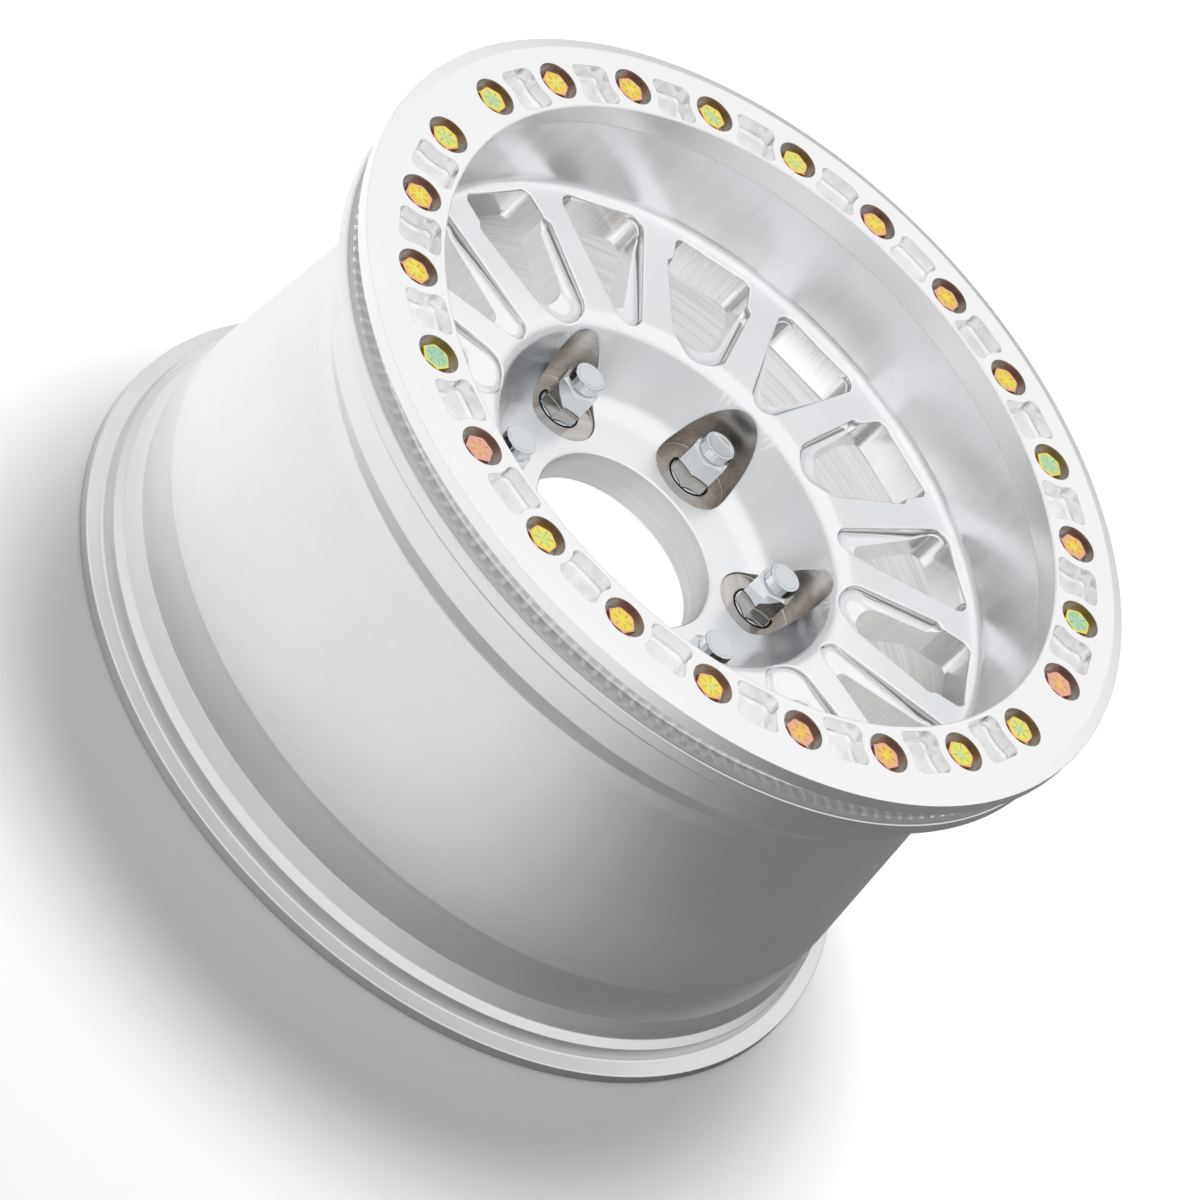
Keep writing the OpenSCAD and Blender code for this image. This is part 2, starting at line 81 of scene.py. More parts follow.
def reach(v: Array) -> Array:
    """Distances of points from the axis, or lengths of flat vectors."""
    return np.linalg.norm(v[:, :2], axis=1)


def heading(angle: Array) -> Array:
    """Flat unit vectors at the given angles."""
    return np.c_[np.cos(angle), np.sin(angle)]


def clockwise(count: int) -> Array:
    """Evenly spaced angles that run clockwise from 0."""
    return -np.arange(count) * tau / count


def circle(radius: float, count: int, centre: Sequence[float] = (0.0, 0.0)) -> Array:
    """Clockwise circle of evenly spaced points."""
    return np.array(centre) + radius * heading(clockwise(count))


def at_height(flat: Array, z: "Array | float") -> Array:
    """Flat points put at one height, or each at its own."""
    return np.c_[flat, np.zeros(len(flat)) + z]


def quarter(steps: int) -> list[tuple[float, float]]:
    """Pairs (1 - sin, 1 - cos) over a quarter turn, which shape rounded edges and fillets."""
    return [(1 - sin(q), 1 - cos(q)) for q in np.linspace(0, pi / 2, steps + 1)]


def arc(centre: Array, start: Array, end: Array, steps: int) -> Array:
    """Points of the shorter arc about a centre from one point to another."""
    a, b = start - centre, end - centre
    first = atan2(a[1], a[0])
    sweep = (atan2(b[1], b[0]) - first + pi) % tau - pi
    return centre + hypot(*a) * heading(first + sweep * np.linspace(0, 1, steps + 1))


def rounded(corners: Rows, steps: int, closed: bool = True) -> Array:
    """Outline whose corners are replaced by arcs.

    An arc of radius r touches both sides of a corner of half angle h at the distance
    r / tan(h), and its centre lies on the bisector at r / sin(h).

    Args:
        corners: Corner points as (x, y, radius).
        steps: Straight pieces in each arc.
        closed: False keeps the first and last corner as they are.
    Returns:
        Points of the outline, one row each.
    """
    at, out = np.array([c[:2] for c in corners], float), []
    for i, (p, (_, _, r)) in enumerate(zip(at, corners)):
        if r <= 0 or (not closed and i in (0, len(at) - 1)):
            out.append(p[None])
            continue
        u, w = unit(at[i - 1] - p), unit(at[(i + 1) % len(at)] - p)
        half = acos(float(np.clip(u @ w, -1, 1))) / 2
        touch = r / tan(half)
        out.append(arc(p + unit(u + w) * r / sin(half), p + u * touch, p + w * touch, steps))
    return np.concatenate(out)


def filled(loops: Sequence[Array], step: float) -> list[Array]:
    """Matching outlines with extra points on their straight sides.

    Args:
        loops: Outlines with equally many points; the first decides how many are added.
        step: Longest side left in the first outline.
    Returns:
        The outlines, still matching point by point.
    """
    length = reach(np.roll(loops[0], -1, axis=0) - loops[0])
    count = np.maximum(1, np.ceil(length / step)).astype(int)
    side = np.repeat(np.arange(len(length)), count)
    share = np.concatenate([np.arange(n) / n for n in count])[:, None]
    return [a[side] * (1 - share) + np.roll(a, -1, axis=0)[side] * share for a in loops]


def outward(loop: Array) -> Array:
    """Steps that move each point of a clockwise outline one unit away from its inside."""
    before, after = unit(loop - np.roll(loop, 1, axis=0)), unit(np.roll(loop, -1, axis=0) - loop)
    tangent = unit(before + after)
    normal = np.c_[-tangent[:, 1], tangent[:, 0]]
    return normal / np.maximum((tangent * after).sum(1), 0.5)[:, None]


def turned(points: Array, degrees: float) -> Array:
    """Points turned about Z; columns past the second stay as they are."""
    c, s = cos(radians(degrees)), sin(radians(degrees))
    x, y = points[..., 0], points[..., 1]
    return np.concatenate([np.stack([c * x - s * y, s * x + c * y], -1), points[..., 2:]], -1)


def spun(profile: Sequence[tuple], angles: Array) -> list[Array]:
    """Rings of points about Z, one for each radius and height, each a number or an array."""
    return [np.stack([r * np.cos(angles), r * np.sin(angles), z + 0 * angles], -1)
            for r, z in profile]


def along(profile: Array, places: Sequence[float]) -> Array:
    """Points of a profile at the given distances from its start."""
    length = np.r_[0, np.cumsum(reach(np.diff(profile, axis=0)))]
    return np.c_[np.interp(places, length, profile[:, 0]), np.interp(places, length, profile[:, 1])]


def inside(points: Array, loop: Array) -> Array:
    """Whether each point lies in an outline, by counting the sides that a ray crosses."""
    a, b = loop[None], np.roll(loop, -1, axis=0)[None]
    x, y = points[:, 0, None], points[:, 1, None]
    spans = (a[..., 1] > y) != (b[..., 1] > y)
    rise = np.where(b[..., 1] == a[..., 1], 1e-9, b[..., 1] - a[..., 1])
    cross = a[..., 0] + (y - a[..., 1]) * (b[..., 0] - a[..., 0]) / rise
    return (spans & (x < cross)).sum(1) % 2 == 1


def ring_points(radii: Sequence[float], spacing: float) -> Array:
    """Points spread evenly round circles about the axis, each second circle shifted."""
    out = []
    for i, r in enumerate(radii):
        n = max(12, int(tau * r / spacing))
        out.append(r * heading((np.arange(n) + 0.5 * (i % 2)) * tau / n))
    return np.concatenate(out)


def six_sided(flat_r: float, angle: Array) -> Array:
    """Radius of a hexagon with a corner at angle 0: its flat's distance over a cosine."""
    return flat_r / np.cos(angle % (pi / 3) - pi / 6)


def height_over(corners: Rows) -> Height:
    """Height as a function of the radius, from an open profile with rounded corners."""
    line = rounded(corners, 10, False)
    return lambda r: np.interp(r, line[:, 0], line[:, 1])


def over_plane(height: Height) -> Surface:
    """Surface above the plane whose height depends on the radius; its slope gives the normal."""
    def at(points: Array) -> tuple[Array, Array]:
        """Points and normals above the given places."""
        r = reach(points)
        slope = (height(r + 0.05) - height(r - 0.05)) / 0.1
        normal = unit(at_height(-points * (slope / np.maximum(r, 1e-6))[:, None], 1))
        return np.c_[points, height(r)], normal
    return at


class Shell:
    """One mesh put together from patches that meet edge to edge.

    Patches keep their own smooth normals, so an edge between two patches is crisp unless
    their surfaces run on into each other.
    """

    def __init__(self) -> None:
        """Starts with no patches."""
        self.points: list[Array] = []
        self.normals: list[Array] = []
        self.faces: list[Array] = []
        self.finish: list[Array] = []
        self.local: list[Array] = []
        self.total = 0

    def patch(self, points: Array, normals: Array, faces: Array, finish: int) -> None:
        """Adds points with their normals and the faces between them.

        Args:
            points: One row for each point.
            normals: One row for each point.
            faces: Point numbers, three or four to a row.
            finish: Which of the piece's materials the faces have.
        """
        self.points.append(points)
        self.normals.append(normals)
        self.faces.append(faces + self.total)
        self.finish.append(np.full(len(faces), finish))
        self.total += len(points)

    def grid(self, rows: Sequence[Array], finish: int = 0, wrap: bool = True,
             hole: bool = False) -> None:
        """Adds rows of points as four-sided faces.

        The normal is the cross product of the steps along the two directions of the grid.

        Args:
            rows: Rows with equally many points.
            finish: Which of the piece's materials the faces have.
            wrap: Whether the last column runs on into the first.
            hole: Takes the columns the other way round, as in a hole that is looked into.
        """
        g = np.stack(rows)[:, ::-1] if hole else np.stack(rows)
        across = np.roll(g, -1, axis=1) - np.roll(g, 1, axis=1) if wrap else np.gradient(g, axis=1)
        normal = unit(np.cross(across, np.gradient(g, axis=0)))
        number = np.arange(g[..., 0].size).reshape(g.shape[:2])
        after = np.roll(number, -1, axis=1) if wrap else number[:, 1:]
        here = number if wrap else number[:, :-1]
        faces = np.stack([here[:-1], after[:-1], after[1:], here[1:]], axis=-1)
        self.patch(g.reshape(-1, 3), normal.reshape(-1, 3), faces.reshape(-1, 4), finish)

    def steps(self, rows: Sequence[Array], finishes: Sequence[int], hole: bool = False) -> None:
        """Adds the strip between each two rows as a patch of its own, so that edges are crisp."""
        for i, finish in enumerate(finishes):
            self.grid(rows[i:i + 2], finish, hole=hole)

    def fan(self, loop: Array, finish: int) -> None:
        """Adds a flat face, looking up, inside a clockwise loop of points at one height."""
        n, count = np.arange(len(loop)), len(loop)
        faces = np.c_[(n + 1) % count, n, np.full(count, count)]
        points = np.r_[loop, loop.mean(0)[None]]
        self.patch(points, np.tile([0.0, 0.0, 1.0], (count + 1, 1)), faces, finish)

    def sheet(self, loops: Sequence[Array], extra: Array, surface: Surface, finish: int = 0,
              flip: bool = False) -> None:
        """Adds a surface between an outer outline and its holes.

        The flat outlines are cut into triangles by a constrained Delaunay triangulation,
        those in the holes are dropped, and each point is then moved onto the surface.

        Args:
            loops: The outer outline and those of the holes.
            extra: More points to use where the surface bends.
            surface: Gives the points and normals over flat places.
            finish: Which of the piece's materials the surface has.
            flip: Makes the surface look the other way.
        """
        outer, *holes = loops
        clear = 1.2
        free = extra[inside(extra, outer)]
        for loop in loops:
            apart = np.linalg.norm(free[:, None] - loop[None], axis=2).min(1) > clear
            free = free[apart & ((loop is outer) | ~inside(free, loop))]
        flat = np.concatenate([*loops, free])
        edges, base = [], 0
        for loop in loops:
            n = np.arange(len(loop))
            edges.append(np.c_[n, (n + 1) % len(loop)] + base)
            base += len(loop)
        found = delaunay_2d_cdt([Vector(p) for p in flat.tolist()],
                                [tuple(e) for e in np.concatenate(edges).tolist()], [], 0, 1e-5)
        points = np.array([flat[own[0]] if own else tuple(v) for v, own in zip(found[0], found[3])])
        faces = np.array(found[2], int)
        middle = points[faces].mean(1)
        keep = inside(middle, outer)
        for hole in holes:
            keep &= ~inside(middle, hole)
        faces = faces[keep]
        a, b, c = (points[faces[:, i]] for i in range(3))
        (bx, by), (cx, cy) = (b - a).T, (c - a).T
        left = bx * cy - by * cx < 0
        faces[left] = faces[left][:, ::-1]
        at, normal = surface(points)
        self.patch(at, -normal if flip else normal, faces[:, ::-1] if flip else faces, finish)

    def hexagon(self, radius: Array, angle: Array, top: Array, low: Array, shift: int = 0) -> None:
        """Adds the upright sides of a hexagon as six patches.

        Args:
            radius: Radius at each angle.
            angle: Angles of the columns.
            top: Height of the upper edge at each angle.
            low: Height of the lower edge at each angle.
            shift: How many columns past a corner a patch begins.
        """
        step = len(angle) // 6
        for k in range(6):
            n = (np.arange(step + 1) + step * k + shift) % len(angle)
            flat = radius[n][:, None] * heading(angle[n])
            self.grid([at_height(flat, top[n]), at_height(flat, low[n])], wrap=False)

    def repeat(self, places: Sequence[tuple[float, float, float, float]], lift: float) -> None:
        """Repeats everything so far.

        The attribute "local" keeps where a point lay before it was moved, with the copy's
        tint as its third value.

        Args:
            places: For each copy its turn about its own axis, its radius from the wheel's
                axis, its angle round the wheel and its tint.
            lift: Height added to all copies.
        """
        points, normals = np.concatenate(self.points) + [0, 0, lift], np.concatenate(self.normals)
        faces, finish, base = self.faces, self.finish, self.total
        self.__init__()
        for spin, radius, angle, tint in places:
            self.points.append(turned(turned(points, spin) + [radius, 0, 0], angle))
            self.normals.append(turned(normals, spin + angle))
            self.local.append(at_height(points[:, :2], tint))
            self.faces += [f + self.total for f in faces]
            self.finish += finish
            self.total += base

    def build(self, name: str, materials: Sequence[bpy.types.Material]) -> bpy.types.Object:
        """Makes the Blender object: equal points are joined and the normals are kept.

        Args:
            name: The piece's name.
            materials: Its materials, in the order that the patches number them.
        Returns:
            The new object, riding on the wheel.
        """
        points, normals = np.concatenate(self.points), np.concatenate(self.normals)
        key = np.round(points * WELD).astype(np.int64)
        _, first, same = np.unique(key, axis=0, return_index=True, return_inverse=True)
        sizes = np.concatenate([np.full(len(f), f.shape[1]) for f in self.faces])
        corner = np.concatenate([f.reshape(-1) for f in self.faces])
        mesh = bpy.data.meshes.new(name)
        mesh.vertices.add(len(first))
        mesh.vertices.foreach_set("co", (points[first] * MM).astype(np.float32).ravel())
        mesh.loops.add(len(corner))
        mesh.loops.foreach_set("vertex_index", same.reshape(-1)[corner].astype(np.int32))
        mesh.polygons.add(len(sizes))
        mesh.polygons.foreach_set("loop_start", np.r_[0, np.cumsum(sizes)[:-1]].astype(np.int32))
        mesh.polygons.foreach_set("material_index", np.concatenate(self.finish).astype(np.int32))
        mesh.polygons.foreach_set("use_smooth", np.ones(len(sizes), bool))
        mesh.update(calc_edges=True)
        local = np.concatenate(self.local or [np.zeros((1, 3))])
        if np.ptp(local[:, 2]) > 0:
            values = mesh.attributes.new("local", "FLOAT_VECTOR", "POINT")
            values.data.foreach_set("vector", local[first].astype(np.float32).ravel())
        mesh.normals_split_custom_set(unit(normals[corner]).tolist())
        for material in materials:
            mesh.materials.append(material)
        piece = bpy.data.objects.new(name, mesh)
        bpy.context.scene.collection.objects.link(piece)
        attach(piece, "root")
        return piece


# Shader expressions

class Sock:
    """A shader socket that can be used in sums and products."""

    def __init__(self, web: "Web", link: bpy.types.NodeSocket) -> None:
        """Keeps the socket with the node tree that it belongs to."""
        self.web, self.link = web, link

    def __add__(self, o: "Value") -> "Sock":
        """Sum."""
        return self.web.math("ADD", self, o)

    def __mul__(self, o: "Value") -> "Sock":
        """Product."""
        return self.web.math("MULTIPLY", self, o)

    def __sub__(self, o: "Value") -> "Sock":
        """Difference."""
        return self.web.math("SUBTRACT", self, o)

    def __rsub__(self, o: float) -> "Sock":
        """Difference from a number."""
        return self.web.math("SUBTRACT", o, self)

    __radd__ = __add__

    def most(self, o: "Sock") -> "Sock":
        """The greater of two values."""
        return self.web.math("MAXIMUM", self, o)

    def clamp(self) -> "Sock":
        """The value held between 0 and 1."""
        return self.web.node("Clamp", {"Value": self})

    def ramp(self, low: float, high: float) -> "Sock":
        """0 below low, 1 above high, smooth between."""
        return self.web.node("MapRange", {"Value": self, "From Min": low, "From Max": high},
                             interpolation_type="SMOOTHSTEP")


Value = Sock | float
Colour = Sock | Sequence[float]


class Web:
    """The node tree of a material or of the world."""

    def __init__(self, name: str, world: bool = False) -> None:
        """Makes a material, or a world, that has only its output node."""
        self.owner = (bpy.data.worlds if world else bpy.data.materials).new(name)
        self.owner.use_nodes = True
        self.tree = self.owner.node_tree
        self.tree.nodes.clear()
        self.out = self.tree.nodes.new("ShaderNodeOutput" + ("World" if world else "Material"))

    def node(self, kind: str, inputs: dict, output: int | str = 0, **settings: str) -> Sock:
        """Adds a node.

        Args:
            kind: Blender's name for the node's type, without its first word.
            inputs: Values or sockets by input name or number.
            output: Which output is returned.
            settings: Properties that are set first.
        Returns:
            The chosen output.
        """
        made = self.tree.nodes.new("ShaderNode" + kind)
        for key, value in settings.items():
            setattr(made, key, value)
        for key, value in inputs.items():
            if isinstance(value, Sock):
                self.tree.links.new(value.link, made.inputs[key])
            else:
                made.inputs[key].default_value = value
        return Sock(self, made.outputs[output])

    def math(self, name: str, *values: Value) -> Sock:
        """A Math node with the given operation."""
        return self.node("Math", dict(enumerate(values)), operation=name)

    def mix(self, factor: Value, a: Colour, b: Colour, blend: str = "MIX") -> Sock:
        """Mixes two colours."""
        a, b = ((v if isinstance(v, Sock) else (*v, 1)) for v in (a, b))
        return self.node("Mix", {0: factor, 6: a, 7: b}, 2, data_type="RGBA", blend_type=blend)

    def spectrum(self, at: Sock, stops: Sequence[tuple[float, Sequence[float]]]) -> Sock:
        """Colour that runs from stop to stop, each a place and a colour."""
        made = self.node("ValToRGB", {0: at})
        elements = made.link.node.color_ramp.elements
        while len(elements) < len(stops):
            elements.new(0.5)
        for element, (place, colour) in zip(elements, stops):
            element.position, element.color = place, (*colour, 1)
        return made

    def place(self, kind: str = "Object") -> Sock:
        """Coordinates, in metres where they are the object's."""
        return self.node("TexCoord", {}, kind)

    def split(self, vector: Sock) -> list[Sock]:
        """The three values of a vector."""
        return [self.node("SeparateXYZ", {0: vector}, i) for i in range(3)]

    def polar(self, x: Sock, y: Sock) -> tuple[Sock, Sock]:
        """Distance from the axis and angle round it."""
        return self.math("SQRT", x * x + y * y), self.math("ARCTAN2", y, x)

    def ray(self, kind: str) -> Sock:
        """Whether a ray is of the given kind."""
        return self.node("LightPath", {}, f"Is {kind} Ray")

    def vector(self, x: Value, y: Value, z: Value) -> Sock:
        """A vector from three values."""
        return self.node("CombineXYZ", {0: x, 1: y, 2: z})

    def noise(self, at: Sock, scale: float, detail: float = 2.0) -> Sock:
        """Noise between about 0.3 and 0.7."""
        return self.node("TexNoise", {"Vector": at, "Scale": scale, "Detail": detail})

    def bump(self, height: Sock, depth: float) -> Sock:
        """Normal for a height whose full range is the given depth in metres."""
        return self.node("Bump", {"Height": height, "Distance": depth, "Strength": 1.0})

    def finish(self, shader: Sock) -> bpy.types.ID:
        """Makes a shader the surface of the material or world, which is returned."""
        self.tree.links.new(shader.link, self.out.inputs["Surface"])
        return self.owner

    def blend(self, share: Sock, a: Sock, b: Sock) -> bpy.types.ID:
        """Finishes a material or world with two mixed shaders."""
        return self.finish(self.node("MixShader", {0: share, 1: a, 2: b}))

    def surface(self, base: Colour, rough: Sock, normal: Sock | None,
                metal: float = 1.0) -> bpy.types.Material:
        """Finishes a material with one Principled shader."""
        inputs = {"Base Color": base if isinstance(base, Sock) else (*base, 1),
                  "Roughness": rough, "Metallic": metal}
        if normal is not None:
            inputs["Normal"] = normal
        return self.finish(self.node("BsdfPrincipled", inputs))


class Lay(Enum):
    """Which way the fine tool marks of a turned or milled face run."""

    ROUND = "circles about the axis"
    ALONG = "lines along the axis"
    NONE = "no lines, only a soft cloudiness"


@dataclass(frozen=True)
class Aluminium:
    """Bare machined aluminium."""

    name: str
    colour: tuple[float, float, float]
    rough: float
    lay: Lay
    line_scale: float = 900.0
    line_depth: float = 1e-5
    cloud: float = 0.05
    fleck: float = 0.06
    ribs: int = 0

    def make(self) -> bpy.types.Material:
        """Tool marks are noise stretched along their run, and clouds vary the gloss.

        The gaps between grip ribs are a little darker below the flange's wall: painted shade for
        the valleys between the ribs.

        Returns:
            The material.
        """
        web = Web(self.name)
        at = web.place()
        x, y, z = web.split(at)
        radius, angle = web.polar(x, y)
        cloud = web.noise(at, 14.0, 3.0)
        if self.lay is Lay.ROUND:
            line = web.noise(web.vector(radius, z, angle * 0.004), self.line_scale, 3.0)
        elif self.lay is Lay.ALONG:
            line = web.noise(web.vector(angle * 0.1, z * 0.03, radius), self.line_scale, 3.0)
        else:
            line = web.noise(at, 120.0)
        grey = 1 + (line - 0.5) * self.fleck + (cloud - 0.5) * self.cloud
        # Painted shade: the gaps between the grip ribs are darkened where the channel's floor lies.
        if self.ribs:
            turn = web.math("FRACT", angle * (-self.ribs / tau) + self.ribs)
            crest = turn.ramp(0.06, 0.16) * (1 - turn.ramp(0.42, 0.52))
            grey = grey * (1 - (1 - crest) * (1 - radius.ramp(0.2245, 0.2253)) * 0.16)
        base = web.mix(1.0, self.colour, web.vector(grey, grey, grey), "MULTIPLY")
        rough = (self.rough + (cloud - 0.5) * 0.12 + (line - 0.5) * 0.10).clamp()
        normal = None if self.lay is Lay.NONE else web.bump(line, self.line_depth)
        return web.surface(base, rough, normal)


@dataclass(frozen=True)
class Polished:
    """Turned and hand-polished aluminium with cloudy streaks along the axis, partly uneven polish
    and partly painted reflection.
    """

    name: str
    colour: tuple[float, float, float]

    def make(self) -> bpy.types.Material:
        """Clouds stretched along the axis change the tone and the gloss; in the tone they are
        partly uneven polish and partly painted reflection.

        Returns:
            The material.
        """
        web = Web(self.name)
        x, y, z = web.split(web.place())
        radius, angle = web.polar(x, y)
        around = web.vector(web.math("COSINE", angle), web.math("SINE", angle), z * 3.5)
        cloud = web.noise(around, 3.2, 4.0)
        streak = web.noise(web.vector(x * 60, y * 60, z * 9), 1.0, 3.0)
        fine = web.noise(web.vector(radius * 40, z * 900, angle * 3), 1.0)
        # Streaks and clouds in the base colour: partly uneven polish, partly painted reflection.
        polish_and_painted_reflection = (cloud.ramp(0.36, 0.66) - 0.5) * 0.08 + (streak - 0.5) * 0.20
        grey = 1 + polish_and_painted_reflection + (fine - 0.5) * 0.03
        base = web.mix(1.0, self.colour, web.vector(grey, grey, grey + 0.01), "MULTIPLY")
        rough = (0.30 + (cloud - 0.5) * 0.10 + (streak - 0.5) * 0.14).clamp()
        return web.surface(base, rough, web.bump(fine + streak * 4, 1.5e-5))


@dataclass(frozen=True)
class Plated:
    """Smooth plated metal: chrome, nickel or brass."""

    name: str
    colour: tuple[float, float, float]
    rough: float

    def make(self) -> bpy.types.Material:
        """A faint waviness and slightly uneven gloss.

        Returns:
            The material.
        """
        web = Web(self.name)
        wave = web.noise(web.place(), 90.0)
        rough = (self.rough + (wave - 0.5) * 0.06).clamp()
        return web.surface(self.colour, rough, web.bump(wave, 2e-5))


@dataclass(frozen=True)
class YellowZinc:
    """Iridescent yellow zinc plate, whose hue follows the thickness of its film."""

    name: str

    def make(self) -> bpy.types.Material:
        """The hue follows the film and drifts over the head; six short marks ring the centre.

        The attribute "local" holds the place on the bolt's head in millimetres and, as its
        third value, the film.

        Returns:
            The material.
        """
        web = Web(self.name)
        at = web.place()
        drift, grain = web.noise(at, 170.0, 3.0) - 0.5, web.noise(at, 1100.0)
        stops = [(0.0, (0.84, 0.42, 0.36)), (0.18, (0.88, 0.48, 0.22)), (0.38, (0.92, 0.64, 0.10)),
                 (0.58, (0.92, 0.80, 0.14)), (0.76, (0.66, 0.78, 0.28)), (0.90, (0.50, 0.72, 0.44)),
                 (1.0, (0.42, 0.66, 0.48))]
        x, y, tint = web.split(web.node("Attribute", {}, "Vector", attribute_name="local"))
        radius, angle = web.polar(x, y)
        mark = web.math("ABSOLUTE", web.math("FRACT", angle * (6 / tau) + 6.25) - 0.5) * radius
        mark = (1 - mark.ramp(0.2, 0.42)) * radius.ramp(2.4, 2.7) * (1 - radius.ramp(5.6, 5.9))
        middle, edge = 1 - radius.ramp(1.0, 4.2), radius.ramp(5.9, 7.2)
        film = tint + drift * 0.55 + middle * 0.16 - edge * 0.42
        base = web.mix(mark * 0.5, web.spectrum(film.clamp(), stops), (0.30, 0.42, 0.16))
        rough = (0.26 + (grain - 0.5) * 0.25).clamp()
        return web.surface(base, rough, web.bump(grain * 0.06 + mark, 1.2e-4))


@dataclass(frozen=True)
class Rubber:
    """Matte black rubber."""

    name: str

    def make(self) -> bpy.types.Material:
        """A fine grain on near black.

        Returns:
            The material.
        """
        web = Web(self.name)
        grain = web.noise(web.place(), 700.0)
        base = web.mix(grain, (0.02, 0.02, 0.02), (0.05, 0.05, 0.05))
        rough = (0.6 + (grain - 0.5) * 0.2).clamp()
        return web.surface(base, rough, web.bump(grain, 2e-5), metal=0.0)


FINISHES = (
    Polished("polished_aluminium", (0.94, 0.945, 0.955)),
    Aluminium("face_aluminium", (0.93, 0.935, 0.945), 0.30, Lay.ROUND, 900, 1e-6, fleck=0.02),
    Aluminium("scoop_aluminium", (0.92, 0.925, 0.935), 0.13, Lay.NONE),
    Aluminium("window_aluminium", (0.90, 0.895, 0.89), 0.24, Lay.ALONG, 1200, fleck=0.40),
    Aluminium("milled_aluminium", (0.79, 0.785, 0.775), 0.34, Lay.ROUND, 420, 2e-5, fleck=0.65),
    Aluminium("ring_pocket_aluminium", (0.92, 0.92, 0.92), 0.22, Lay.NONE, cloud=0.3, fleck=0.25),
    Aluminium("pocket_aluminium", (0.60, 0.57, 0.535), 0.26, Lay.ROUND, 220, 1.5e-5, fleck=0.75),
    Aluminium("bore_aluminium", (0.70, 0.695, 0.69), 0.34, Lay.ROUND, 300, fleck=0.35),
    # Painted shade: near black for the narrow gap round each nut's collar, where only shade falls.
    Aluminium("seat_aluminium", (0.07, 0.07, 0.07), 0.5, Lay.NONE),
    Aluminium("turned_aluminium", (0.83, 0.83, 0.83), 0.36, Lay.ROUND, 400, 8e-6, 0.14, 0.05),
    # Painted shade: a darker copy of the turned finish, for the rear flange.
    Aluminium("flange_aluminium", (0.76, 0.76, 0.76), 0.34, Lay.ROUND, 300, 1e-5, 0.12, 0.14),
    Aluminium("ring_aluminium", (0.945, 0.945, 0.95), 0.34, Lay.ROUND, 900, 1e-6, fleck=0.015),
    Aluminium("recess_aluminium", (0.88, 0.87, 0.86), 0.34, Lay.ROUND, 600, fleck=0.25),
    # ribs=180 paints shade into the gaps between the grip ribs.
    Aluminium("grip_aluminium", (0.93, 0.925, 0.92), 0.40, Lay.ROUND, 500, 8e-6, ribs=180),
    Plated("chrome_plate", (0.66, 0.68, 0.70), 0.05),
    Plated("nickel_plate", (0.62, 0.62, 0.62), 0.24),
    Plated("brass", (0.80, 0.64, 0.32), 0.25),
    # Zinc-plated washers, darkened further as painted shade round the bolts.
    Plated("washer_zinc_painted_shade", (0.50, 0.44, 0.36), 0.30),
    YellowZinc("yellow_zinc"),
    Rubber("black_rubber"),
)
MADE: dict[str, bpy.types.Material] = {}


def aluminium(*names: str) -> list[bpy.types.Material]:
    """The aluminium finishes of the given names."""
    return [MADE[name + "_aluminium"] for name in names]


# The wheel

